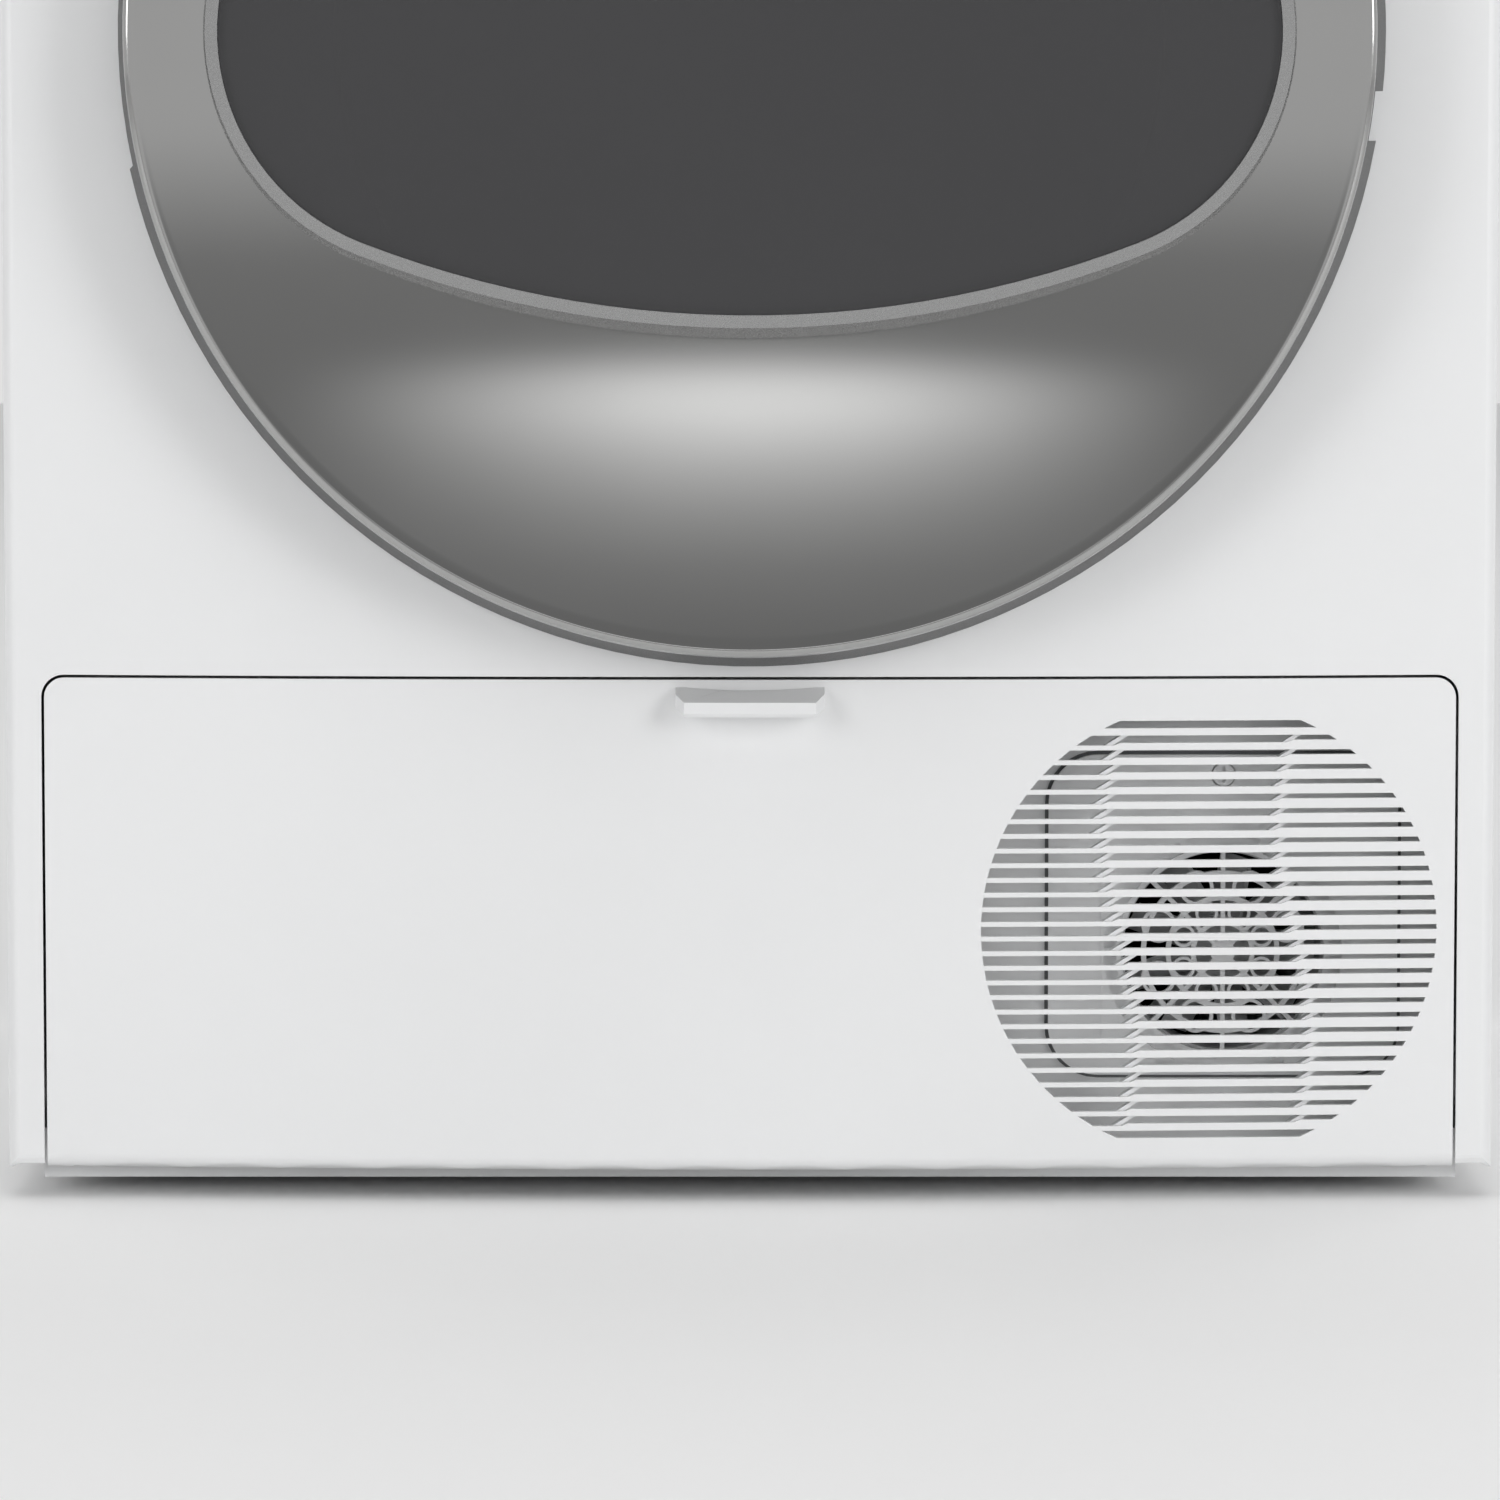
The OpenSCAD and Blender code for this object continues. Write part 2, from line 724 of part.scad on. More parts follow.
module door_hinge_arm() {
  arm_z = [lug_low[1] + 1, lug_high[0] - 1];
  plate_y = [door_back_y - 5.6, door_back_y - 2.6];
  screw_up = 14;
  color("silver") difference() {
    union() {
      translate([hinge_x, hinge_y, arm_z[0]]) cylinder(r = eye_r, h = arm_z[1] - arm_z[0]);
      block([hinge_x - 3, hinge_x + 3], [hinge_y, door_back_y - 3], arm_z);
      block([window_a + 3, hinge_x + 3], plate_y, arm_z);
    }
    translate([hinge_x, hinge_y, arm_z[0] - cut]) cylinder(r = pin_r + 0.08, h = arm_z[1] - arm_z[0] + 1);
    for (z = [door_z - screw_up, door_z + screw_up])
      bar_y(window_a + 10, z, 2.5, door_back_y - 12, door_back_y);
  }
}

module door_latch_hook() {
  color("silver") union() {
    block([latch_x - 3, latch_x + 3], [door_back_y - 6, -268], [door_z - 8, door_z + 8]);
    along_z(door_z - 8, door_z + 8)
      polygon([[latch_x - 3.1, -268], [latch_x - 7, -272], [latch_x - 7, -275], [latch_x - 2, -275],
        [latch_x - 2, -268]]);
  }
}

// ---- lint filter ----

module lint_filter_frame() {
  color("lightgray") difference() {
    union() {
      difference() {
        block([-101.5, 101.5], [-239, -229.5], [165, 320]);
        bar_y(0, door_z, throat_r, -260, -200);
      }
      along_y(-236, -232.5) rounded_rect([-24, 24], [276, 294], 6);
    }
    along_y(-245, -225) rounded_rect([-14, 14], [281, 289], 3.9);
    for (s = [-1, 1]) along_y(-245, -225) rounded_rect([s * 48 - 43, s * 48 + 43], [176, 264], 5);
  }
}

// ---- drum ----

module drum_shell() {
  color("silver") turned(0, 0, door_z) {
    translate([drum_r - drum_t, -drum_back]) square([drum_t, drum_back - drum_front]);
    polygon([[drum_r, -drum_front], [collar_r, -drum_front + 17], [collar_r - drum_t, -drum_front + 17],
      [drum_r - drum_t, -drum_front - 1], [drum_r, -drum_front - 1]]);
    translate([collar_r - drum_t, -drum_front + 16]) square([drum_t, -collar_front + drum_front - 16]);
  }
}

module drum_rear_wall() {
  holes = [[110, 22], [134, 26], [158, 30], [182, 36], [206, 40]];
  color("silver") union() {
    along_y(drum_back - 4, drum_back - 2.5) difference() {
      translate([0, door_z]) circle(r = drum_r - drum_t - 0.05);
      for (row = holes, i = [0 : row[1] - 1]) translate([0, door_z]) rotate(i * 360 / row[1])
        translate([row[0], 0]) circle(r = 4.5, $fn = 24);
    }
    bar_y(0, door_z, 70, drum_back - 8, drum_back - 3);
    bar_y(0, door_z, 30, drum_back - 3, drum_back + 6);
    bar_y(0, door_z, shaft_r, drum_back, 298);
  }
}

module drum_lifters() {
  color("lightgray") union() {
    for (i = [0 : lifter_count - 1]) along_y(-165, 245) translate([0, door_z]) intersection() {
      rotate(90 + i * 360 / lifter_count) lifter_profile();
      circle(r = drum_r - drum_t - 0.05);
    }
  }
}

// Section of one lifter: a tapering fin with a round crest
module lifter_profile() {
  polygon([[drum_r, -30], [drum_r, 30], [240, 11], [240, -11]]);
  translate([240, 0]) circle(r = 12);
}

// Support roller: a hub with a wide rim
module roller(x) {
  difference() {
    union() {
      bar_y(x, roller_z, roller_r, -219, -209);
      bar_y(x, roller_z, 9, -221.5, -207.5);
    }
    bar_y(x, roller_z, axle_r + 0.08, -225, -200);
  }
}

module roller_left() {
  color("dimgray") roller(-roller_x);
}

module roller_right() {
  color("dimgray") roller(roller_x);
}

module rear_bearing() {
  color("dimgray") difference() {
    union() {
      bar_y(0, door_z, 26, 272, rear_y - 5);
      bar_y(0, door_z, 48, 296, rear_y - 5);
    }
    bar_y(0, door_z, shaft_r + 0.06, 270, rear_y);
  }
}

// ---- drive ----

// Points of an arc round a centre, from angle a0 to angle a1
function arc_points(centre, r, a0, a1, steps) =
  [for (i = [0 : steps]) let (a = a0 + (a1 - a0) * i / steps) centre + r * [cos(a), sin(a)]];

// Line of the belt round the drum and the pulley, grown outwards
function belt_line(grow) =
  let (r1 = drum_r + belt_gap + grow, r2 = pulley_r + belt_gap + grow, dz = motor_z - door_z)
  let (axis = atan2(dz, motor_x), lean = acos((r1 - r2) / norm([motor_x, dz])))
  concat(arc_points([0, door_z], r1, axis + lean, axis + 360 - lean, 96),
    arc_points([motor_x, motor_z], r2, axis - lean, axis + lean, 24));

module drum_belt() {
  color("black") along_y(belt_y[0], belt_y[1]) difference() {
    polygon(belt_line(belt_t));
    polygon(belt_line(0));
  }
}

module motor_housing() {
  color("darkgray") union() {
    difference() {
      bar_y(motor_x, motor_z, motor_r, -20, 90);
      bar_y(motor_x, motor_z, 41, -14, 84);
      bar_y(motor_x, motor_z, 7, -21, 91);
    }
    for (y = [[-14, -4], [74, 84]]) difference() {
      block([motor_x - 45, motor_x + 45], y, [base_top, motor_z - 20]);
      bar_y(motor_x, motor_z, motor_r - 1, -21, 91);
    }
  }
}

module motor_rotor() {
  color("silver") union() {
    bar_y(motor_x, motor_z, 6, -60, 268);
    bar_y(motor_x, motor_z, 38, -5, 75);
    difference() {
      bar_y(motor_x, motor_z, pulley_r, -58, -36);
      for (y = [-50, -46, -42]) translate([motor_x, y + 0.5, motor_z]) rotate([90, 0, 0])
        difference() {
          cylinder(r = pulley_r + 1, h = 1);
          translate([0, 0, -1]) cylinder(r = pulley_r - 1, h = 3);
        }
    }
  }
}

// Radial blower wheel: a back disc with straight vanes and a front ring
module process_fan() {
  color("lightgray") difference() {
    union() {
      bar_y(motor_x, motor_z, 74, 266, 269);
      bar_y(motor_x, motor_z, 14, 240, 268);
      for (i = [0 : 15]) translate([motor_x, 0, motor_z]) rotate([0, i * 22.5, 0])
        block([46, 73], [238, 267], [-1, 1]);
      along_y(236, 239) translate([motor_x, motor_z]) difference() {
        circle(r = 74);
        circle(r = 48);
      }
    }
    bar_y(motor_x, motor_z, 6.02, 230, 272);
  }
}

module blower_housing() {
  color("lightgray") difference() {
    bar_y(motor_x, motor_z, 86, 228, 300);
    bar_y(motor_x, motor_z, 83, 231, 301);
    bar_y(motor_x, motor_z, 44, 220, 240);
  }
}

module tensioner_arm() {
  d = idler_pos - tensioner_pos;
  color("silver") difference() {
    union() {
      bar_y(tensioner_pos[0], tensioner_pos[1], 8, -58, -37);
      bar_y(idler_pos[0], idler_pos[1], idler_r, -53, -39);
      bar_y(idler_pos[0], idler_pos[1], idler_r - 4, -58, -37);
      along_y(-58, -54.5) translate(tensioner_pos) rotate(atan2(d[1], d[0]))
        translate([0, -5]) square([norm(d), 10]);
    }
    bar_y(tensioner_pos[0], tensioner_pos[1], 3.1, -70, -20);
  }
}

// ---- heat pump ----

module compressor() {
  x = 190;
  y = 110;
  color("black") union() {
    translate([x, y, 36]) cylinder(r = 56, h = 140);
    translate([x, y, 170]) intersection() {
      translate([0, 0, -60]) sphere(r = 82);
      cylinder(r = 60, h = 40);
    }
    for (i = [0 : 2]) translate([x, y, 0]) rotate(i * 120 + 30) {
      block([40, 78], [-14, 14], [40, 44]);
      translate([68, 0, base_top]) cylinder(r = 9, h = 14);
    }
  }
}

// A block of upright fins between two end plates, with tubes through it
module fin_block(y) {
  for (x = [-146 : 6 : 104]) block([x, x + 1], y, [34, 158]);
  for (x = [-150, 107]) block([x, x + 3], y, [base_top, 160]);
  for (z = [52 : 28 : 150], py = [y[0] + 18, y[1] - 18])
    translate([-155, py, z]) rotate([0, 90, 0]) cylinder(r = 4, h = 270);
}

module condenser() {
  color("silver") fin_block([-134, -68]);
}

module evaporator() {
  color("silver") fin_block([-212, -146]);
}

module refrigerant_pipes() {
  color("peru") union() {
    pipe([[190, 110, 192.2], [190, 110, 206], [250, 110, 206], [250, -86, 150], [130, -86, 136],
      [115.2, -86, 136]], 4);
    pipe([[115.2, -116, 52], [128, -116, 52], [128, -194, 52], [115.2, -194, 52]], 3);
    pipe([[115.2, -164, 108], [142, -164, 108], [142, 20, 100], [149.3, 69.3, 100]], 4);
  }
}

// Square frame of the cooling fan with a motor hub held by four struts
module cooling_fan_frame() {
  x = [fan_x - 46, fan_x + 46];
  z = [fan_z - 46, fan_z + 46];
  color("dimgray") union() {
    difference() {
      along_y(-259, -232) rounded_rect(x, z, 6);
      bar_y(fan_x, fan_z, fan_r + 2, -260, -231);
      for (px = [-1, 1], pz = [-1, 1]) bar_y(fan_x + px * 40, fan_z + pz * 40, 2.2, -260, -231);
    }
    bar_y(fan_x, fan_z, 13, -237, -232);
    for (i = [0 : 3]) translate([fan_x, 0, fan_z]) rotate([0, 45 + i * 90, 0])
      block([11, fan_r + 4], [-236, -233], [-2, 2]);
  }
}

// Axial impeller of the cooling fan
module cooling_fan() {
  color("black") union() {
    bar_y(fan_x, fan_z, 14, -254, -238);
    intersection() {
      bar_y(fan_x, fan_z, fan_r, -255, -238);
      for (i = [0 : fan_blades - 1]) translate([fan_x, -246, fan_z]) rotate([0, i * 360 / fan_blades, 0])
        translate([12, 0, 0]) rotate([38, 0, 0]) translate([0, -9, -0.9]) cube([30, 18, 1.8]);
    }
  }
}

// Lift-off cover over the cooling fan, with a lattice guard of rings, spokes and petals
module fan_cover() {
  cover_x = [fan_x - 70.5, fan_x + 70.5];
  cover_z = [fan_z - 50, fan_z + 80];
  y = [base_front - 3, base_front];
  color("gainsboro") union() {
    along_y(y[0], y[1]) difference() {
      rounded_rect(cover_x, cover_z, 20);
      translate([fan_x, fan_z]) circle(r = 48);
      translate([fan_x, cover_z[1] - 8]) circle(r = 5);
      for (x = [-27, 11.5]) translate([fan_x + x, cover_z[0] + 3]) square([13.5, 3]);
    }
    along_y(y[0] - 1, y[0] + 0.5) fan_step();
    along_y(y[0], y[1]) translate([fan_x, fan_z]) fan_guard();
  }
}

// Raised step round the fan opening
module fan_step() {
  difference() {
    translate([fan_x, fan_z - 1])
      polygon([[-49, 50], [49, 50], [49, -34], [42, -44], [-42, -44], [-49, -34]]);
    translate([fan_x, fan_z]) circle(r = 48);
    for (x = [-27, 11.5]) translate([fan_x + x, fan_z - 47]) square([13.5, 3]);
  }
}

module fan_guard() {
  for (r = [13, 23, 33, 43]) difference() {
    circle(r = r);
    circle(r = r - 2);
  }
  circle(r = 5);
  for (i = [0 : 7]) rotate(i * 45) {
    translate([4, -0.9]) square([39, 1.8]);
    rotate(22.5) translate([28, 0]) difference() {
      circle(r = 7);
      circle(r = 5.6);
    }
    rotate(22.5) translate([17, 0]) difference() {
      circle(r = 4.6);
      circle(r = 3.4);
    }
  }
  for (a = [70, 110, 215, 325, 0, 180]) rotate(a) translate([41.5, -1.5]) square([7.5, 3]);
}

// Quarter-turn lock that holds the fan cover
module cover_lock() {
  z = fan_z + 72;
  color("lightgray") difference() {
    bar_y(fan_x, z, 4.5, base_front - 4, base_front - 0.4);
    block([fan_x - 0.6, fan_x + 0.6], [base_front - 5, base_front - 2.6], [z - 3.2, z + 3.2]);
  }
}

module condensate_pump() {
  color("ivory") union() {
    block([40, 96], [196, 252], [base_top, 62]);
    translate([68, 224, 61]) cylinder(r = 20, h = 30);
    translate([68, 224, 90]) cylinder(r = 7, h = 10);
  }
}

module fill_hose() {
  color("gray") pipe([[68, 224, 100], [68, 224, 125], [68, 283, 150], [-252, 283, 250], [-252, 283, 822],
    [-200, 200, 822], [-200, 170, 822]], 5);
}

module cable_gland() {
  color("dimgray") difference() {
    union() {
      bar_y(255, 760, 10.9, rear_y - 8, rear_y + 4);
      bar_y(255, 760, 14, rear_y + 0.01, rear_y + 8);
    }
    bar_y(255, 760, 4.5, rear_y - 20, rear_y + 20);
  }
}

module drain_spigot() {
  color("ivory") difference() {
    union() {
      bar_y(-255, 745, 8.9, rear_y - 14, rear_y + 1);
      bar_y(-255, 745, 13, rear_y + 0.01, rear_y + 2);
      bar_y(-255, 745, 6, rear_y + 1, rear_y + 13);
    }
    bar_y(-255, 745, 4, rear_y - 20, rear_y + 20);
  }
}

// Pan-head screws round the rear panel
module cabinet_screws() {
  color("silver") {
    for (x = [-290, 290], z = [60 : 175 : 760]) screw_head(x, z);
    for (x = [-80, 80], z = [30, 815]) screw_head(x, z);
  }
}

module screw_head(x, z) {
  difference() {
    bar_y(x, z, 4, rear_y + 0.01, rear_y + 2.4);
    block([x - 2.5, x + 2.5], [rear_y + 1.4, rear_y + 3], [z - 0.5, z + 0.5]);
    block([x - 0.5, x + 0.5], [rear_y + 1.4, rear_y + 3], [z - 2.5, z + 2.5]);
  }
}

// ---- service flap ----

module flap_panel() {
  color("white") union() {
    difference() {
      intersection() {
        swept_front() flap_profile(0);
        along_y(edge_y - 30, edge_y + 30) flap_outline(0);
      }
      intersection() {
        swept_front() flap_profile(flap_t);
        along_y(edge_y - 30, edge_y + 30) flap_outline(flap_t);
      }
      along_y(edge_y - 30, edge_y + 30) for (i = [0 : grille_rows - 1]) grille_slot(i);
      for (s = [-1, 1]) block([s * ear_x - 4.2, s * ear_x + 4.2],
        [flap_hinge[0] - 5, flap_hinge[0] + 15], [flap_low - 1, flap_low + flap_t + 0.6]);
    }
    grille_ribs();
    for (s = [-1, 1]) flap_peg(s);
  }
}

// Section of the flap in radius and height, inset from its outer faces
module flap_profile(inset) {
  low = flap_low + inset;
  r = edge_r - inset;
  deep = flap_depth + (inset > 0 ? 5 : 0);
  translate([front_r - deep, flap_low + edge_r])
    square([deep - inset, flap_top - flap_low - edge_r - inset]);
  translate([front_r - deep, low]) square([deep - edge_r, edge_r]);
  translate([front_r - edge_r, flap_low + edge_r]) circle(r = r);
}

// Front outline of the flap: large upper corners and small lower ones
module flap_outline(inset) {
  rounded_rect([-flap_x + inset, flap_x - inset], [flap_low - 10, flap_top - inset], 8 - inset);
}

// Moulded peg and cheek that the flap turns on
module flap_peg(side) {
  along_x(side * 275 - 3.5, side * 275 + 3.5) {
    translate(flap_hinge) circle(r = 5.2);
    translate([flap_hinge[0] - 7, flap_hinge[1] - 5.2]) square([7, 10.4]);
  }
  along_x(side * 271 - 4.8, side * 271 + 4.8) translate(flap_hinge) circle(r = peg_r);
}

// Half the width of the grille's circle at height z
function grille_half(z) = sqrt(max(0, grille_r * grille_r - pow(z - grille_z, 2)));

// Upper edge of a slot
function slot_top(i) = grille_z + ((grille_rows - 1) / 2 - i) * grille_pitch + 1.6;

// Sideways place of the two wavy ribs behind the slats
function rib_x(k, z) = grille_x + (k == 0 ? -35.7 : 33.8) - 6.8 * sin((z - grille_z) * 2.14);

// One slot: three steps, each shallower than the one before, with slanting ends
module grille_slot(i) {
  t = slot_top(i);
  x1 = rib_x(0, t);
  x2 = rib_x(1, t);
  left = x1 - 4 > grille_x - grille_half(t - 4) && abs(t - 2 - grille_z) < 80;
  right = x2 + 4 < grille_x + grille_half(t - 2) && abs(t - 2 - grille_z) < 80;
  drop_l = left ? 4 : 3;
  polygon(concat(
    [[grille_x - grille_half(t), t], [grille_x + grille_half(t), t]],
    right ? [[grille_x + grille_half(t - 2), t - 2], [x2 + 1, t - 2], [x2 - 1.4, t - 3]]
      : [[grille_x + grille_half(t - 3), t - 3]],
    left ? [[x1 + 1, t - 3], [x1 - 1.4, t - 4]] : [],
    [[grille_x - grille_half(t - drop_l), t - drop_l]]
  ));
}

// Slanting ribs that tie each slat to the next from behind, on two wavy lines
module grille_ribs() {
  intersection() {
    swept_front() translate([front_r - 9, grille_z - grille_r]) square([9 - flap_t + 0.5, 2 * grille_r]);
    along_y(edge_y - 30, edge_y + 30)
      for (i = [0 : grille_rows - 1], k = [0, 1]) {
        t = slot_top(i);
        if (abs(t - 2 - grille_z) < 80) grille_rib(rib_x(k, t), t);
      }
  }
}

// One rib across one slot, leaning from lower left to upper right
module grille_rib(x, t) {
  polygon([[x - 6.3, t - 5], [x - 3.3, t - 5], [x + 6.3, t + 1], [x + 3.3, t + 1]]);
}

// Pull tab: a faceted ledge with a hollow along its top
module flap_handle() {
  top = flap_top - 3;
  low = top - 11;
  back_y = edge_y - front_bulge;
  color("white") intersection() {
    along_x(-31, 31) polygon([[back_y + 1, low], [back_y - 12.5, low], [back_y - 14, low + 1.5],
      [back_y - 14, top - 5], [back_y, top], [back_y + 1, top]]);
    along_z(low - 1, top + 1) polygon(concat(
      [for (x = [-29.8 : 3.725 : 29.8]) [x, bow(x) - 0.01]],
      [[29.8, back_y - 6], [25.8, back_y - 15], [-25.8, back_y - 15], [-29.8, back_y - 6]]
    ));
    along_y(back_y - 20, back_y + 5) difference() {
      polygon([[-29.8, top], [-29.8, low + 3], [-25.5, low], [25.5, low], [29.8, low + 3], [29.8, top]]);
      translate([0, top + 282 - 1.2]) circle(r = 282, $fn = 256);
    }
  }
}

// ---- feet ----

module foot(x, y) {
  translate([x, y, 0]) difference() {
    union() {
      cylinder(r1 = foot_r - 1, r2 = foot_r, h = 1.5);
      translate([0, 0, 1.5]) cylinder(r = foot_r, h = base_low - 1.8);
      cylinder(r = foot_stud_r, h = 24);
    }
    translate([0, 0, 20]) cylinder(r = 2, h = 6);
  }
}

module foot_front_left() {
  color("dimgray") foot(-foot_pos[0], foot_pos[1]);
}

module foot_front_right() {
  color("dimgray") foot(foot_pos[0], foot_pos[1]);
}

module foot_rear_left() {
  color("dimgray") foot(-foot_pos[0], foot_pos[2]);
}

module foot_rear_right() {
  color("dimgray") foot(foot_pos[0], foot_pos[2]);
}

base_tray();
side_panel_left();
side_panel_right();
rear_panel();
rear_duct_cover();
top_panel();
front_panel();
control_fascia();
display_lens();
control_board();
tank_sleeve();
front_bulkhead();
door_seal();
door_lock();
hinge_bracket();
hinge_pin();
rear_bearing();
drum_belt();
motor_housing();
blower_housing();
compressor();
condenser();
evaporator();
refrigerant_pipes();
cooling_fan_frame();
fan_cover();
condensate_pump();
fill_hose();
cable_gland();
drain_spigot();
cabinet_screws();
door_dish();
door_window_bezel();
door_window();
door_inner_ring();
door_glass_bowl();
door_hinge_arm();
door_latch_hook();
lint_filter_frame();
drum_shell();
drum_rear_wall();
drum_lifters();
roller_left();
roller_right();
motor_rotor();
process_fan();
tensioner_arm();
cooling_fan();
cover_lock();
flap_panel();
flap_handle();
foot_front_left();
foot_front_right();
foot_rear_left();
foot_rear_right();
program_knob();
power_button();
start_button();
water_tank();
tank_front();
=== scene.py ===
import json
import math

import bmesh
import bpy
from mathutils import Matrix, Vector


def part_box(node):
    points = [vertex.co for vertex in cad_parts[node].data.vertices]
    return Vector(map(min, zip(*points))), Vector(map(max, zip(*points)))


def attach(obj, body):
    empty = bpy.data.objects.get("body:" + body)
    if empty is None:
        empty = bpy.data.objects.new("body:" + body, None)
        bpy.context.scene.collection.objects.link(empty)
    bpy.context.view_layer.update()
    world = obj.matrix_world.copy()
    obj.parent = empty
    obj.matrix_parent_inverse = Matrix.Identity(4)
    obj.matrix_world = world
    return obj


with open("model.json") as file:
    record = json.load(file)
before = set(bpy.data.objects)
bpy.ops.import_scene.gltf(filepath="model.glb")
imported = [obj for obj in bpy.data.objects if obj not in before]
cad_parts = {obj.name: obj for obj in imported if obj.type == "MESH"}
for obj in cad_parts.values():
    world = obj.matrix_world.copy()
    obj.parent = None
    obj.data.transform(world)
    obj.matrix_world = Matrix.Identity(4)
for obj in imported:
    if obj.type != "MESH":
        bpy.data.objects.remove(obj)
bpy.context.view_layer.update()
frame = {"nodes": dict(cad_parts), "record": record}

NODES = frame["nodes"]
MM = 0.001

# ---- places worked out from the frame ----


def centre(node):
    """Middle of a CAD node's box."""
    low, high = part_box(node)
    return (low + high) / 2


def size(node):
    """Extent of a CAD node's box."""
    low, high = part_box(node)
    return high - low


DOOR = centre("door_dish")
DOOR_R = size("door_dish").z / 2
FRONT_MID_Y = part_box("front_panel")[0].y
HALF_W = size("front_panel").x / 2
EDGE_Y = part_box("front_panel")[1].y - 20 * MM
BULGE = EDGE_Y - FRONT_MID_Y
BOW_R = (HALF_W ** 2 + BULGE ** 2) / (2 * BULGE)


def bow(x):
    """Y of the bowed front at x."""
    return FRONT_MID_Y + BOW_R - math.sqrt(BOW_R ** 2 - x * x)


# ---- materials ----


def add(tree, kind, **sockets):
    """Adds a node. A socket's value is a number, a colour or another node's output."""
    node = tree.nodes.new("ShaderNode" + kind)
    for name, value in sockets.items():
        socket = node.inputs[int(name[1:])] if name[0] == "i" and name[1:].isdigit() else node.inputs[name]
        if isinstance(value, bpy.types.NodeSocket):
            tree.links.new(value, socket)
        else:
            socket.default_value = value
    return node


def maths(tree, operation, a, b=0.0):
    """Output of a Math node."""
    node = add(tree, "Math", i0=a, i1=b)
    node.operation = operation
    return node.outputs[0]


def object_coords(tree):
    return add(tree, "TexCoord").outputs["Object"]


def noise(tree, scale, detail=3.0, stretch=(1, 1, 1)):
    """Noise of the given scale per metre, drawn out along an axis by stretch."""
    mapping = add(tree, "Mapping", Vector=object_coords(tree), Scale=stretch)
    return add(tree, "TexNoise", Vector=mapping.outputs[0], Scale=scale, Detail=detail).outputs["Fac"]


def remap(tree, value, low, high):
    """Maps a noise value to the range low to high."""
    node = add(tree, "MapRange", Value=value)
    node.inputs["From Min"].default_value = 0.3
    node.inputs["From Max"].default_value = 0.7
    node.inputs["To Min"].default_value = low
    node.inputs["To Max"].default_value = high
    return node.outputs["Result"]


def blend_colours(tree, factor, a, b):
    node = tree.nodes.new("ShaderNodeMix")
    node.data_type = "RGBA"
    tree.links.new(factor, node.inputs["Factor"])
    for socket, value in ((node.inputs[6], a), (node.inputs[7], b)):
        if isinstance(value, bpy.types.NodeSocket):
            tree.links.new(value, socket)
        else:
            socket.default_value = (*value[:3], 1)
    return node.outputs[2]


def shade(colour, amount):
    return tuple(max(0.0, min(1.0, c * amount)) for c in colour)


def surface(name, colour, rough=0.4, metal=0.0, vary=0.03, patch=9.0, grain=500.0, stretch=(1, 1, 1),
            bump=0.02, depth=0.0001, swing=0.05, **uniform):
    """A procedural finish: colour in soft patches, and grain in its roughness and relief."""
    material = bpy.data.materials.new(name)
    material.use_nodes = True
    tree = material.node_tree
    shader = tree.nodes["Principled BSDF"]
    patches = remap(tree, noise(tree, patch, 4.0), 0.0, 1.0)
    fine = noise(tree, grain, 4.0, stretch)
    mixed = blend_colours(tree, patches, shade(colour, 1 - vary), shade(colour, 1 + vary))
    tree.links.new(mixed, shader.inputs["Base Color"])
    tree.links.new(remap(tree, fine, rough - swing, rough + swing), shader.inputs["Roughness"])
    relief = add(tree, "Bump", Height=fine, Strength=bump, Distance=depth)
    tree.links.new(relief.outputs[0], shader.inputs["Normal"])
    shader.inputs["Metallic"].default_value = metal
    for socket, value in uniform.items():
        shader.inputs[socket.replace("_", " ")].default_value = value
    return material


def base_colour(material):
    """The socket that feeds a material's colour."""
    shader = material.node_tree.nodes["Principled BSDF"]
    return shader.inputs["Base Color"].links[0].from_socket


def spangled(material, cells=150, amount=0.28):
    """Lays the crystal pattern of zinc over a metal's colour."""
    tree = material.node_tree
    shader = tree.nodes["Principled BSDF"]
    crystals = add(tree, "TexVoronoi", Vector=object_coords(tree), Scale=cells).outputs["Color"]
    tone = add(tree, "SeparateColor", Color=crystals).outputs["Red"]
    darker = (0.42, 0.435, 0.45)
    factor = maths(tree, "MULTIPLY", tone, amount)
    tree.links.new(blend_colours(tree, factor, base_colour(material), darker), shader.inputs["Base Color"])
    return material


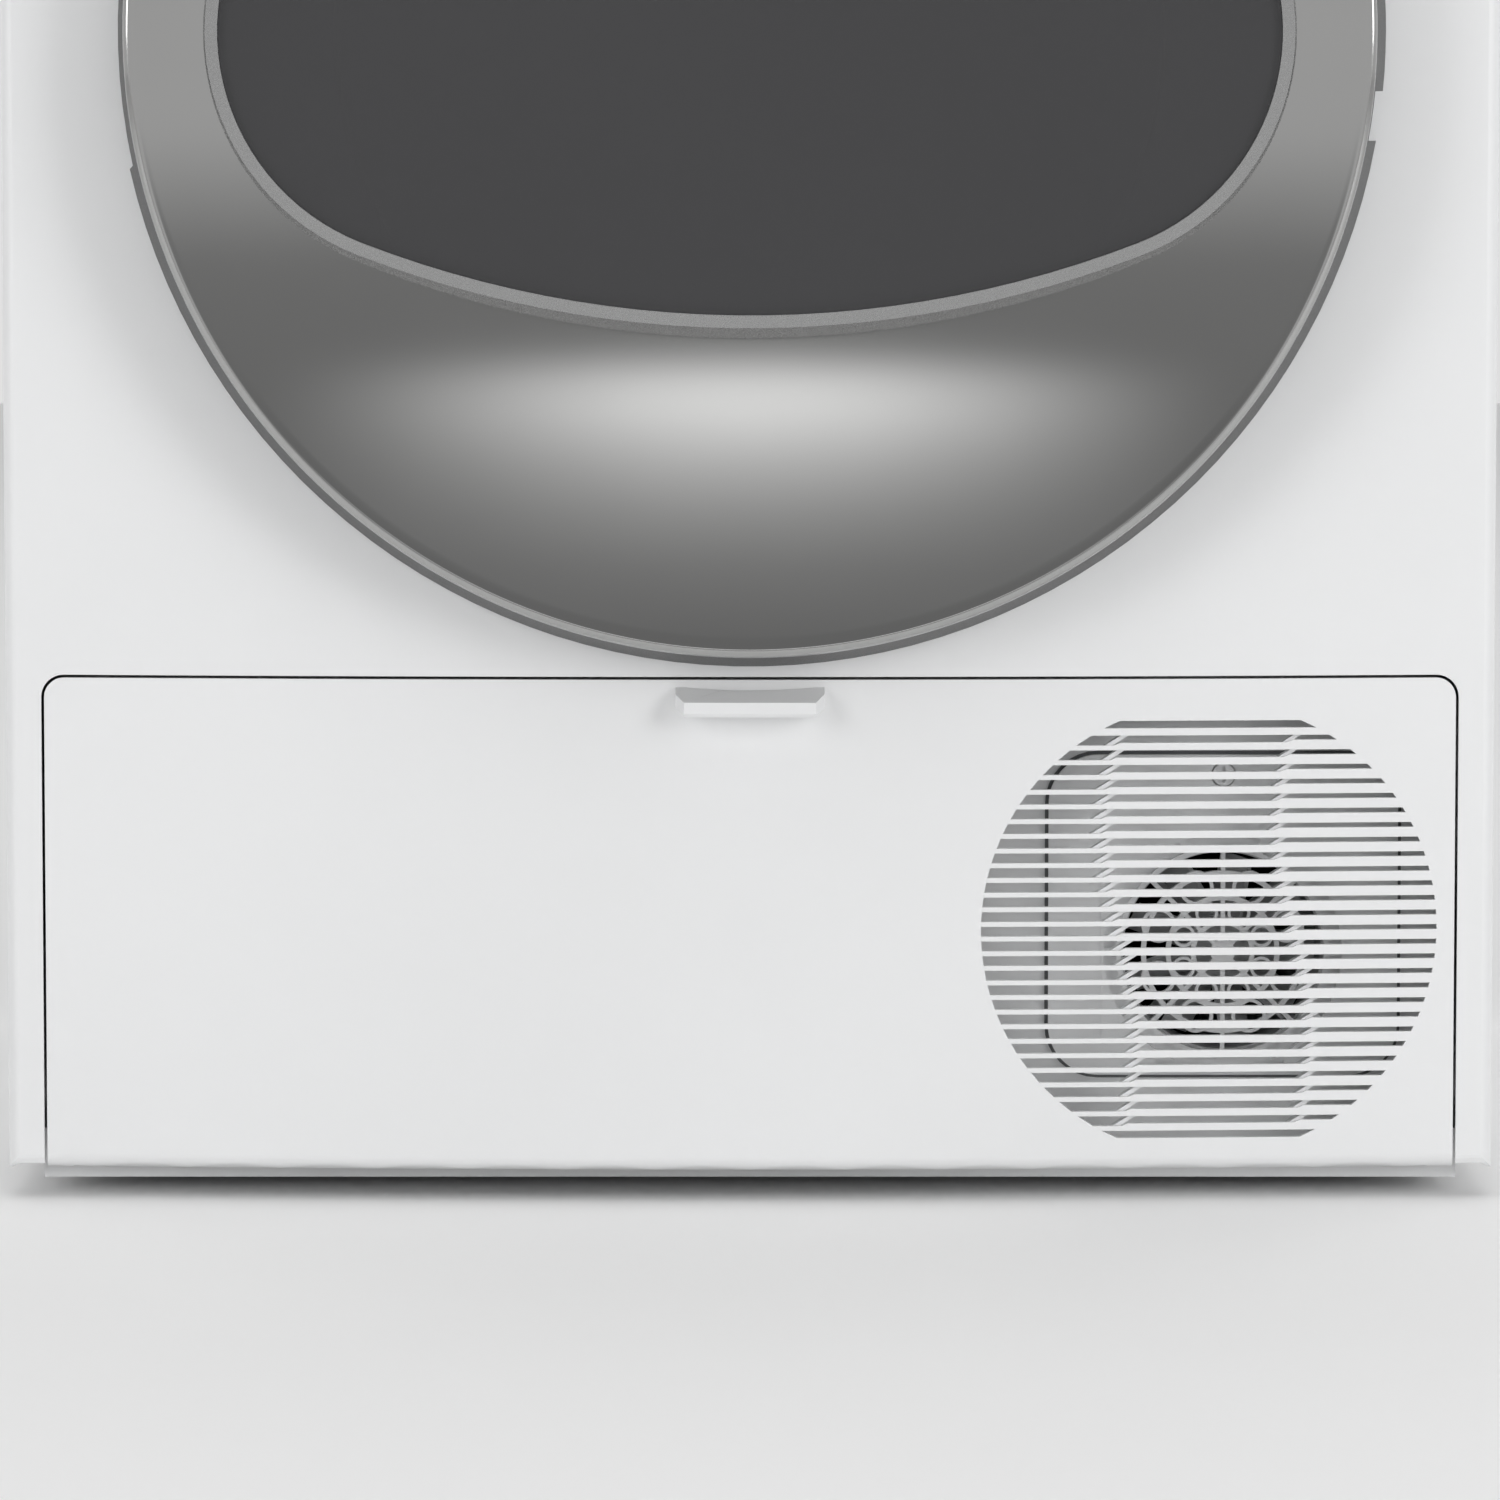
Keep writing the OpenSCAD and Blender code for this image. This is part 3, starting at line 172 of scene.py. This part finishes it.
WHITE = (0.83, 0.835, 0.84)
FINISH = {
    "white_enamel": surface("white_enamel", WHITE, 0.42, vary=0.012, patch=5, grain=420, bump=0.05,
                            Coat_Weight=0.12, Coat_Roughness=0.25),
    "white_plastic": surface("white_plastic", WHITE, 0.45, vary=0.012, patch=6, grain=1300, bump=0.08,
                             depth=0.00005),
    "worktop_laminate": surface("worktop_laminate", WHITE, 0.6, vary=0.012, patch=5, grain=700, bump=0.05,
                                depth=0.00006, Specular_IOR_Level=0.25),
    "galvanised": spangled(surface("galvanised", (0.56, 0.575, 0.59), 0.4, 0.85, vary=0.03, patch=14,
                                   grain=420, bump=0.04)),
    "dish_metal": surface("dish_metal", (0.46, 0.46, 0.455), 0.085, 1.0, vary=0.015, patch=14, grain=2600,
                          bump=0.03, depth=0.00002, swing=0.01),
    "door_body": surface("door_body", (0.05, 0.05, 0.05), 0.4, vary=0.04, patch=14, grain=1400, bump=0.08,
                         depth=0.00005),
    "bezel_metal": surface("bezel_metal", (0.42, 0.42, 0.42), 0.28, 0.9, vary=0.02, patch=20, grain=1500),
    "grey_plastic": surface("grey_plastic", (0.50, 0.505, 0.51), 0.55, vary=0.03, patch=20, grain=1400,
                            bump=0.12),
    "dark_plastic": surface("dark_plastic", (0.03, 0.03, 0.033), 0.55, vary=0.2, patch=25, grain=1400,
                            bump=0.15),
    "seal_rubber": surface("seal_rubber", (0.16, 0.165, 0.17), 0.7, vary=0.08, patch=30, grain=900,
                           bump=0.2, Sheen_Weight=0.2),
    "belt_rubber": surface("belt_rubber", (0.015, 0.015, 0.015), 0.8, vary=0.3, patch=60, grain=900,
                           bump=0.3),
    "stainless": surface("stainless", (0.56, 0.565, 0.575), 0.3, 0.95, vary=0.03, patch=8, grain=220,
                         stretch=(1, 14, 1), bump=0.05, depth=0.00006),
    "fin_aluminium": surface("fin_aluminium", (0.72, 0.73, 0.74), 0.38, 0.9, vary=0.06, patch=40, grain=700),
    "copper_pipe": surface("copper_pipe", (0.62, 0.29, 0.16), 0.35, 0.95, vary=0.2, patch=45, grain=700,
                           bump=0.1),
    "black_paint": surface("black_paint", (0.02, 0.02, 0.022), 0.35, vary=0.2, patch=15, grain=350, bump=0.12,
                           Coat_Weight=0.3),
    "cast_motor": surface("cast_motor", (0.36, 0.365, 0.37), 0.55, 0.7, vary=0.12, patch=30, grain=600,
                          bump=0.5, depth=0.0003),
    "ivory_plastic": surface("ivory_plastic", (0.66, 0.63, 0.54), 0.5, vary=0.04, patch=20, grain=1300,
                             bump=0.1),
    "silver_plastic": surface("silver_plastic", (0.55, 0.555, 0.565), 0.3, 0.75, vary=0.03, patch=12,
                              grain=2400, bump=0.04, depth=0.00004, Coat_Weight=0.3),
    "steel": surface("steel", (0.45, 0.455, 0.465), 0.35, 0.9, vary=0.08, patch=50, grain=400,
                     stretch=(1, 1, 6), bump=0.08),
    "circuit_board": surface("circuit_board", (0.02, 0.12, 0.05), 0.4, vary=0.25, patch=180, grain=900),
    "lens_glass": surface("lens_glass", (0.008, 0.008, 0.01), 0.09, vary=0.2, patch=20, grain=200,
                          swing=0.02, Coat_Weight=0.6),
    "window_glass": surface("window_glass", (0.09, 0.09, 0.095), 0.07, vary=0.03, patch=4, grain=60,
                            bump=0.0, swing=0.005, Transmission_Weight=0.6, IOR=1.45, Coat_Weight=0.3),
    "bowl_glass": surface("bowl_glass", (0.86, 0.9, 0.92), 0.04, vary=0.02, patch=8, grain=60, swing=0.01,
                          Transmission_Weight=1.0, IOR=1.35),
    "tank_plastic": surface("tank_plastic", (0.74, 0.79, 0.82), 0.35, vary=0.03, patch=12, grain=900,
                            Transmission_Weight=0.45, IOR=1.4),
    # The next two finishes are lighter than the grey plastic they stand for: painted light for the dim space
    # behind the flap.
    "fan_grey_painted_light": surface("fan_grey_painted_light", (0.6, 0.605, 0.61), 0.5, vary=0.05, patch=40, grain=1200, bump=0.12),
    "inner_white_painted_light": surface("inner_white_painted_light", (0.86, 0.865, 0.87), 0.5, vary=0.02, patch=10, grain=1200, bump=0.1,
                           depth=0.00005),
    "floor": surface("floor", (0.93, 0.93, 0.93), 0.6, vary=0.01, patch=1.5, grain=150, bump=0.03),
}


def plastic_glow(name, colour, strength):
    """A lamp or lit mark behind tinted plastic."""
    material = surface(name, colour, 0.3, vary=0.05, patch=200, grain=1200)
    shader = material.node_tree.nodes["Principled BSDF"]
    shader.inputs["Emission Color"].default_value = (*colour, 1)
    shader.inputs["Emission Strength"].default_value = strength
    return material


FINISH["lit_mark"] = plastic_glow("lit_mark", (0.75, 0.86, 0.9), 0.8)
FINISH["lamp_lens"] = plastic_glow("lamp_lens", (0.9, 0.9, 0.86), 0.15)
FINISH["print_grey"] = surface("print_grey", (0.28, 0.285, 0.29), 0.5, vary=0.05, patch=60, grain=1500)

# Base, fan cover, cover lock and cooling fan get the lightened finishes: painted light behind the flap.
OWN_FINISH = {"door_dish": "door_body", "base_tray": "inner_white_painted_light", "fan_cover": "inner_white_painted_light",
              "cover_lock": "inner_white_painted_light", "cooling_fan": "fan_grey_painted_light", "cooling_fan_frame": "fan_grey_painted_light"}

for subpart in frame["record"]["subparts"]:
    obj = NODES[subpart["node"]]
    obj.data.materials.clear()
    obj.data.materials.append(FINISH[OWN_FINISH.get(subpart["node"], subpart["material_slot"])])


# ---- mesh tools ----


def finish_piece(name, mesh, body, slot, smooth_angle=35):
    """Makes an object from a bmesh, shades it smooth up to an angle and lets it ride on a body."""
    data = bpy.data.meshes.new(name)
    bmesh.ops.recalc_face_normals(mesh, faces=mesh.faces)
    mesh.to_mesh(data)
    mesh.free()
    obj = bpy.data.objects.new(name, data)
    bpy.context.scene.collection.objects.link(obj)
    data.materials.append(FINISH[slot])
    data.shade_smooth()
    data.set_sharp_from_angle(angle=math.radians(smooth_angle))
    if body:
        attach(obj, body)
    return obj


def loft(mesh, rings, closed_ring=True, closed_path=False, caps=True):
    """Joins equal rings of points into a skin."""
    rows = [[mesh.verts.new(p) for p in ring] for ring in rings]
    count = len(rows[0])
    last = len(rows) if closed_path else len(rows) - 1
    for i in range(last):
        a, b = rows[i], rows[(i + 1) % len(rows)]
        for j in range(count if closed_ring else count - 1):
            mesh.faces.new((a[j], a[(j + 1) % count], b[(j + 1) % count], b[j]))
    if caps and closed_ring and not closed_path:
        mesh.faces.new(rows[0])
        mesh.faces.new(rows[-1])


def lathe_y(mesh, x, z, profile, turn=(0, 360), segments=96):
    """Turns a closed profile of (radius, y) about an axis along Y."""
    start, end = (math.radians(a) for a in turn)
    full = abs(turn[1] - turn[0]) >= 360
    steps = segments if full else segments + 1
    rings = []
    for i in range(steps):
        angle = start + (end - start) * i / segments
        rings.append([Vector((x + r * math.cos(angle), y, z + r * math.sin(angle))) for r, y in profile])
    loft(mesh, rings, closed_path=full)


def slab(mesh, points, y_front, y_back, edge=0.0):
    """A flat shape in X and Z with a chamfered front edge, from y_front to y_back."""
    middle = sum((Vector(p) for p in points), Vector((0, 0))) / len(points)
    inner = [Vector(p) + (middle - Vector(p)).normalized() * edge for p in points]
    rings = [[Vector((p.x, y_front, p.y)) for p in inner]]
    if edge:
        rings.append([Vector((p[0], y_front + edge, p[1])) for p in points])
    rings.append([Vector((p[0], y_back, p[1])) for p in points])
    loft(mesh, rings)


def rounded_outline(x0, x1, z0, z1, r, steps=6):
    """Points of a rectangle with round corners."""
    corners = ((x1 - r, z1 - r, 0), (x0 + r, z1 - r, 90), (x0 + r, z0 + r, 180), (x1 - r, z0 + r, 270))
    points = []
    for middle_x, middle_z, start in corners:
        for i in range(steps + 1):
            turn = math.radians(start + 90 * i / steps)
            points.append((middle_x + r * math.cos(turn), middle_z + r * math.sin(turn)))
    return points


def box_between(mesh, low, high):
    """A block between two corners."""
    low, high = Vector(low), Vector(high)
    bmesh.ops.create_cube(mesh, size=1, matrix=Matrix.Translation((low + high) / 2)
                          @ Matrix.Diagonal((*(high - low), 1)))


# ---- door ----

LIP_R = DOOR_R - 8 * MM
LIP_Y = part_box("door_dish")[0].y
DISH_SAG = 34 * MM
DISH_R = (LIP_R ** 2 + DISH_SAG ** 2) / (2 * DISH_SAG)
WINDOW_A = size("door_window_bezel").x / 2
WINDOW_B = size("door_window_bezel").z / 2
WINDOW_ARC = 430 * MM
LIP_ROUND = 2.6 * MM


def dish_y(r):
    """Y of the door's spherical face at radius r."""
    return LIP_Y + math.sqrt(DISH_R ** 2 - r * r) - math.sqrt(DISH_R ** 2 - LIP_R ** 2)


def ray_to_circle(across, up, x, z, r):
    """Distance from the door's axis, along a direction, to the far side of a circle."""
    along = x * across + z * up
    return along + math.sqrt(along ** 2 - x * x - z * z + r * r)


def window_radius(angle):
    """Distance from the door's axis to the oval window's edge: two large arcs joined by two small ones."""
    end_r = (WINDOW_A ** 2 + WINDOW_B ** 2 - 2 * WINDOW_ARC * WINDOW_B) / (2 * (WINDOW_A - WINDOW_ARC))
    end_x = WINDOW_A - end_r
    across, up = abs(math.cos(angle)), abs(math.sin(angle))
    large = ray_to_circle(across, up, 0, WINDOW_B - WINDOW_ARC, WINDOW_ARC)
    meets_at = end_x * WINDOW_ARC / (WINDOW_ARC - end_r)
    if large * across <= meets_at:
        return large
    return ray_to_circle(across, up, end_x, 0, end_r)


def dish_profile(angle, proud):
    """Line of radius and Y from the window's edge, over the dish, to the outside of the lip."""
    start, end = window_radius(angle) + 0.2 * MM, LIP_R - 1.2 * MM
    line = [(r, dish_y(r) - proud) for r in (start + (end - start) * i / 30 for i in range(31))]
    for i in range(1, 13):
        turn = math.radians(120 - 130 * i / 12)
        line.append((LIP_R + 0.2 * MM + (LIP_ROUND + proud) * math.cos(turn),
                     LIP_Y + LIP_ROUND - (LIP_ROUND + proud) * math.sin(turn)))
    return line


def door_face_trim():
    """Satin metal skin over the door's dished face and lip."""
    mesh = bmesh.new()
    steps = 288
    rings = []
    for i in range(steps):
        angle = 2 * math.pi * i / steps
        outline = dish_profile(angle, 0.25 * MM) + dish_profile(angle, 0.05 * MM)[::-1]
        rings.append([Vector((r * math.cos(angle), y, DOOR.z + r * math.sin(angle))) for r, y in outline])
    loft(mesh, rings, closed_path=True)
    finish_piece("door_face_trim", mesh, "door", "dish_metal", 50)


# ---- controls ----

KNOB = centre("program_knob")
KNOB_R = size("program_knob").z / 2
LENS_LOW, LENS_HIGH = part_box("display_lens")


def collar(name, node, gap, width, slot):
    """A raised ring on the control panel round a knob or button."""
    place = centre(node)
    inner = size(node).z / 2 + gap
    face = bow(place.x)
    mesh = bmesh.new()
    outer, chamfer = inner + width, 0.4 * MM
    foot, shoulder, crest = face + 0.4 * MM, face - 0.8 * MM, face - 1.2 * MM
    lathe_y(mesh, place.x, place.z, [(inner, foot), (inner, shoulder), (inner + chamfer, crest),
                                     (outer - chamfer, crest), (outer, shoulder), (outer, foot)])
    finish_piece(name, mesh, "cabinet", slot)


def program_marks():
    """Ring of raised ticks round the knob, longer at both ends and in the middle."""
    mesh = bmesh.new()
    places, sweep = 15, 240
    middle = places // 2
    start = KNOB_R + 5 * MM
    for i in range(places):
        angle = math.radians(-sweep / 2 + sweep * i / (places - 1))
        length = (5 if i % middle == 0 else 3) * MM
        mid = Vector((math.sin(angle), 0, math.cos(angle))) * (start + length / 2)
        place = Vector((KNOB.x + mid.x, bow(KNOB.x + mid.x) - 0.05 * MM, KNOB.z + mid.z))
        turn = Matrix.Rotation(angle, 4, "Y")
        shape = Matrix.Diagonal((1.1 * MM, 0.5 * MM, length, 1))
        bmesh.ops.create_cube(mesh, size=1, matrix=Matrix.Translation(place) @ turn @ shape)
    bmesh.ops.bevel(mesh, geom=mesh.edges[:], offset=0.12 * MM, segments=1, affect="EDGES")
    finish_piece("program_marks", mesh, "cabinet", "print_grey")


def display_bars():
    """Lit bars behind the display window: a level of five steps and two dots."""
    mesh = bmesh.new()
    for i in range(5):
        x = LENS_LOW.x + (24 + 12 * i) * MM
        z = (LENS_LOW.z + LENS_HIGH.z) / 2 - 8 * MM
        outline = rounded_outline(x, x + 8 * MM, z, z + (7 + 2.4 * i) * MM, 1 * MM, 3)
        slab(mesh, outline, bow(x) - 0.25 * MM, bow(x) + 0.5 * MM)
    for i in range(2):
        x = LENS_HIGH.x - 20 * MM
        z = (LENS_LOW.z + LENS_HIGH.z) / 2 + (6 - 12 * i) * MM
        outline = rounded_outline(x - 2.2 * MM, x + 2.2 * MM, z - 2.2 * MM, z + 2.2 * MM, 2.1 * MM, 4)
        slab(mesh, outline, bow(x) - 0.25 * MM, bow(x) + 0.5 * MM)
    finish_piece("display_bars", mesh, "cabinet", "lit_mark")


# ---- behind the flap ----


def cover_gap_shadow():
    """Thin dark strip on the base round the edge of the fan cover, in the seal material: a painted shadow of
    the gap round the cover.
    """
    low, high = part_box("fan_cover")
    width, proud, corner = 1.4 * MM, 0.4 * MM, 20 * MM
    inner = rounded_outline(low.x, high.x, low.z, high.z, corner, 8)
    outer = rounded_outline(low.x - width, high.x + width, low.z - width, high.z + width, corner + width, 8)
    front, back = high.y - proud, high.y + 0.1 * MM
    mesh = bmesh.new()
    loft(mesh, [[Vector((x, y, z)) for x, z in outline]
                for outline, y in ((inner, front), (outer, front), (outer, back), (inner, back))],
         closed_path=True)
    finish_piece("cover_gap_shadow", mesh, "cabinet", "seal_rubber")


# ---- inside the door opening ----

THROAT_R = 185 * MM


def moisture_strips():
    """Two curved contact strips at the bottom of the door's throat."""
    mesh = bmesh.new()
    inner, outer = THROAT_R - 1.2 * MM, THROAT_R + 0.3 * MM
    width, slope = 6 * MM, 0.6 * MM
    for y in (-266 * MM, -256 * MM):
        profile = [(inner, y), (inner, y + width), (outer, y + width + slope), (outer, y - slope)]
        lathe_y(mesh, 0, DOOR.z, profile, (248, 262), 24)
    finish_piece("moisture_strips", mesh, "cabinet", "stainless")


def drum_lamp():
    """Small domed lamp lens at the top of the throat."""
    mesh = bmesh.new()
    lamp_x, lamp_y = 40 * MM, -248 * MM
    lamp_r, dome = 11 * MM, 5 * MM
    steps, sides = 8, 32
    base = [Vector((lamp_x + lamp_r * math.cos(a), lamp_y + lamp_r * math.sin(a), DOOR.z + THROAT_R))
            for a in (2 * math.pi * k / sides for k in range(sides))]
    rings = [base]
    for i in range(steps):
        tilt = math.radians(90 * i / steps)
        r = lamp_r * math.cos(tilt)
        z = DOOR.z + THROAT_R * 0.985 - dome * math.sin(tilt)
        rings.append([Vector((lamp_x + r * math.cos(a), lamp_y + r * math.sin(a), z))
                      for a in (2 * math.pi * k / sides for k in range(sides))])
    loft(mesh, rings)
    finish_piece("drum_lamp", mesh, "cabinet", "lamp_lens")


def filter_mesh():
    """Woven gauze in the two windows of the lint filter."""
    low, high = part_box("lint_filter_frame")
    middle_y = (low.y + high.y) / 2
    mesh = bmesh.new()
    pitch = 2.2 * MM
    wire = 0.22 * MM
    window_x, half_window = 48 * MM, 44.5 * MM
    z0, z1 = 174 * MM, 266 * MM
    for side in (-1, 1):
        x0, x1 = side * window_x - half_window, side * window_x + half_window
        for i in range(int((x1 - x0) / pitch)):
            x = x0 + pitch * (i + 0.5)
            box_between(mesh, (x - wire, middle_y - wire, z0), (x + wire, middle_y + wire, z1))
        for i in range(int((z1 - z0) / pitch)):
            z = z0 + pitch * (i + 0.5)
            box_between(mesh, (x0, middle_y - 2 * wire, z - wire), (x1, middle_y, z + wire))
    finish_piece("filter_mesh", mesh, "lint_filter", "stainless")


# ---- back ----

REAR_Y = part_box("rear_duct_cover")[0].y
DUCT_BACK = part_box("rear_duct_cover")[1].y
BLOWER = centre("process_fan")


def pan_head(mesh, x, z, y, r):
    """A domed screw head that stands on the plane y."""
    rings = []
    for height, share in ((0, 1), (0.35, 1), (0.75, 0.86), (1, 0.5)):
        rings.append([Vector((x + r * share * math.cos(a), y + height * 0.6 * r, z + r * share * math.sin(a)))
                      for a in (2 * math.pi * k / 20 for k in range(20))])
    loft(mesh, rings)


def duct_screws():
    """Screws through the flange of the rear air duct, round the drum and round the blower."""
    mesh = bmesh.new()
    flange = 1.2 * MM
    head_r = 3.2 * MM
    arcs = ((0, DOOR.z, 220 * MM, range(-30, 200, 23)), (BLOWER.x, BLOWER.z, 97 * MM, range(170, 320, 36)))
    for x, z, r, angles in arcs:
        for angle in angles:
            a = math.radians(angle)
            pan_head(mesh, x + r * math.cos(a), z + r * math.sin(a), REAR_Y + flange, head_r)
    finish_piece("duct_screws", mesh, "cabinet", "steel")


def spoke_section(mid, across, width, height):
    """Five points across a pressed spoke, raised in the middle and sunk into the duct at its edges."""
    section = []
    for share in (-1, -0.6, 0, 0.6, 1):
        rise = height if abs(share) < 1 else 0
        sunk = 0.4 * MM if abs(share) == 1 else 0
        section.append(mid + across * (width * share) + Vector((0, DUCT_BACK + rise - sunk, 0)))
    return section


def duct_beads():
    """Pressed stiffening rings and spokes on the rear air duct."""
    mesh = bmesh.new()
    ring_shape = ((-6, -0.6), (-5, 0), (-3, 1), (0, 1.5), (3, 1), (5, 0), (6, -0.6))
    spoke_shape = ((80, 1, -0.4), (84, 4, 0.8), (90, 5, 1.3), (130, 5, 1.3), (136, 4, 0.8), (140, 1, -0.4))
    spokes = 6
    for r in (70 * MM, 150 * MM):
        profile = [(r + width * MM, DUCT_BACK + height * MM) for width, height in ring_shape]
        lathe_y(mesh, 0, DOOR.z, profile, segments=120)
    for k in range(spokes):
        a = math.radians(30 + 60 * k)
        across = Vector((-math.sin(a), 0, math.cos(a)))
        sections = []
        for r, width, height in spoke_shape:
            mid = Vector((r * MM * math.cos(a), 0, DOOR.z + r * MM * math.sin(a)))
            sections.append(spoke_section(mid, across, width * MM, height * MM))
        loft(mesh, sections)
    finish_piece("duct_beads", mesh, "cabinet", "galvanised")


# ---- camera, floor and light ----


def aim(obj, target):
    direction = Vector(target) - obj.location
    obj.rotation_euler = direction.to_track_quat("-Z", "Y").to_euler()


def softbox(name, place, target, width, height, power, spread=180):
    """A rectangular lamp that faces a target; spread is the angle of its beam in degrees."""
    data = bpy.data.lights.new(name, "AREA")
    data.shape = "RECTANGLE"
    data.size = width
    data.size_y = height
    data.energy = power
    data.spread = math.radians(spread)
    obj = bpy.data.objects.new(name, data)
    bpy.context.scene.collection.objects.link(obj)
    obj.location = place
    aim(obj, target)
    return obj


def make_camera():
    """Camera straight in front of the door's middle, tilted 5 degrees down at the lower part of the front."""
    distance, height, tilt = 3.1981, 0.461, 85
    data = bpy.data.cameras.new("camera")
    data.sensor_width = 36
    data.lens = 192
    data.clip_start = 0.05
    data.clip_end = 50
    obj = bpy.data.objects.new("camera", data)
    bpy.context.scene.collection.objects.link(obj)
    obj.location = (0, EDGE_Y - distance, height)
    obj.rotation_euler = (math.radians(tilt), 0, 0)
    bpy.context.scene.camera = obj


def make_floor():
    half_size = 7
    mesh = bmesh.new()
    bmesh.ops.create_grid(mesh, x_segments=8, y_segments=8, size=half_size)
    floor = finish_piece("floor", mesh, None, "floor")


def levels(tree, value, stops):
    """Reads a grey level off a ramp at a value from 0 to 1."""
    ramp = add(tree, "ValToRGB", Fac=value)
    elements = ramp.color_ramp.elements
    while len(elements) < len(stops):
        elements.new(0.5)
    for element, (place, level) in zip(elements, stops):
        element.position = place
        element.color = (level, level, level, 1)
    return ramp.outputs[0]


def make_world():
    """Pale surroundings, darker in front, with one long soft reflector high in front of the object."""
    world = bpy.data.worlds.new("studio")
    world.use_nodes = True
    bpy.context.scene.world = world
    tree = world.node_tree
    background = tree.nodes["Background"]
    axes = add(tree, "SeparateXYZ", Vector=add(tree, "TexCoord").outputs["Generated"])
    height = maths(tree, "ADD", maths(tree, "MULTIPLY", axes.outputs["Z"], 0.5), 0.5)
    dim = levels(tree, height, ((0.0, 0.75), (0.54, 0.66), (0.585, 0.3), (0.67, 0.25), (0.82, 0.25),
                                (1.0, 0.6)))
    behind = add(tree, "MapRange", Value=axes.outputs["Y"])
    behind.interpolation_type = "SMOOTHSTEP"
    behind.inputs["From Min"].default_value = -0.1
    behind.inputs["From Max"].default_value = 0.4
    dome = blend_colours(tree, behind.outputs[0], dim, (0.75, 0.75, 0.75))
    band = levels(tree, axes.outputs["Z"], ((0.24, 0.0), (0.252, 0.4), (0.268, 0.97), (0.287, 1.0),
                                            (0.307, 0.74), (0.33, 0.48), (0.362, 0.24), (0.4, 0.08),
                                            (0.46, 0.0)))
    side = add(tree, "MapRange", Value=maths(tree, "ABSOLUTE", axes.outputs["X"]))
    side.interpolation_type = "SMOOTHSTEP"
    side.inputs["From Max"].default_value = 0.38
    side.inputs["To Min"].default_value = 1.0
    side.inputs["To Max"].default_value = 0.0
    in_front = maths(tree, "LESS_THAN", axes.outputs["Y"], 0.0)
    reflector = maths(tree, "MULTIPLY", maths(tree, "MULTIPLY", band, side.outputs[0]), in_front)
    reflector_strength = 1.3
    total = maths(tree, "ADD", dome, maths(tree, "MULTIPLY", reflector, reflector_strength))
    tree.links.new(total, background.inputs["Color"])
    background.inputs["Strength"].default_value = 1.0


def make_lights():
    target = (0, -0.28, 0.35)
    softbox("key_right", (3.45, -3.6, 1.7), target, 1.8, 2.6, 20.6, spread=90)
    softbox("key_left", (-3.45, -3.6, 1.7), target, 1.8, 2.6, 15.2, spread=90)
    softbox("top", (0, -1.3, 3.4), (0, -0.6, 0.2), 2.6, 2.0, 18)
    softbox("rear_left", (-3.0, 3.4, 2.0), (0, 0, 0.4), 2.0, 2.0, 14)
    softbox("rear_right", (3.0, 3.4, 2.0), (0, 0, 0.4), 2.0, 2.0, 18)



door_face_trim()
collar("knob_collar", "program_knob", 1.0 * MM, 2.2 * MM, "silver_plastic")
collar("power_collar", "power_button", 0.8 * MM, 1.6 * MM, "silver_plastic")
collar("start_collar", "start_button", 0.8 * MM, 1.6 * MM, "silver_plastic")
program_marks()
display_bars()
# painted shadow of the gap round the fan cover
cover_gap_shadow()
moisture_strips()
drum_lamp()
filter_mesh()
duct_screws()
duct_beads()
make_camera()
make_floor()
make_world()
make_lights()
bpy.context.scene.view_settings.view_transform = "Standard"

# ---- softer edges on the CAD parts ----

BEVELS = {"top_panel": 2.5, "flap_handle": 1.0, "program_knob": 0.6}


def soften(node, width):
    """Joins a CAD part's faces at their seams and rounds its sharp edges, with modifiers only."""
    weld = NODES[node].modifiers.new("joined_faces", "WELD")
    weld.merge_threshold = 0.000001
    bevel = NODES[node].modifiers.new("soft_edges", "BEVEL")
    bevel.width = width * MM
    bevel.segments = 3
    bevel.limit_method = "ANGLE"
    bevel.angle_limit = math.radians(35)
    bevel.harden_normals = True


for node_name, bevel_width in BEVELS.items():
    soften(node_name, bevel_width)
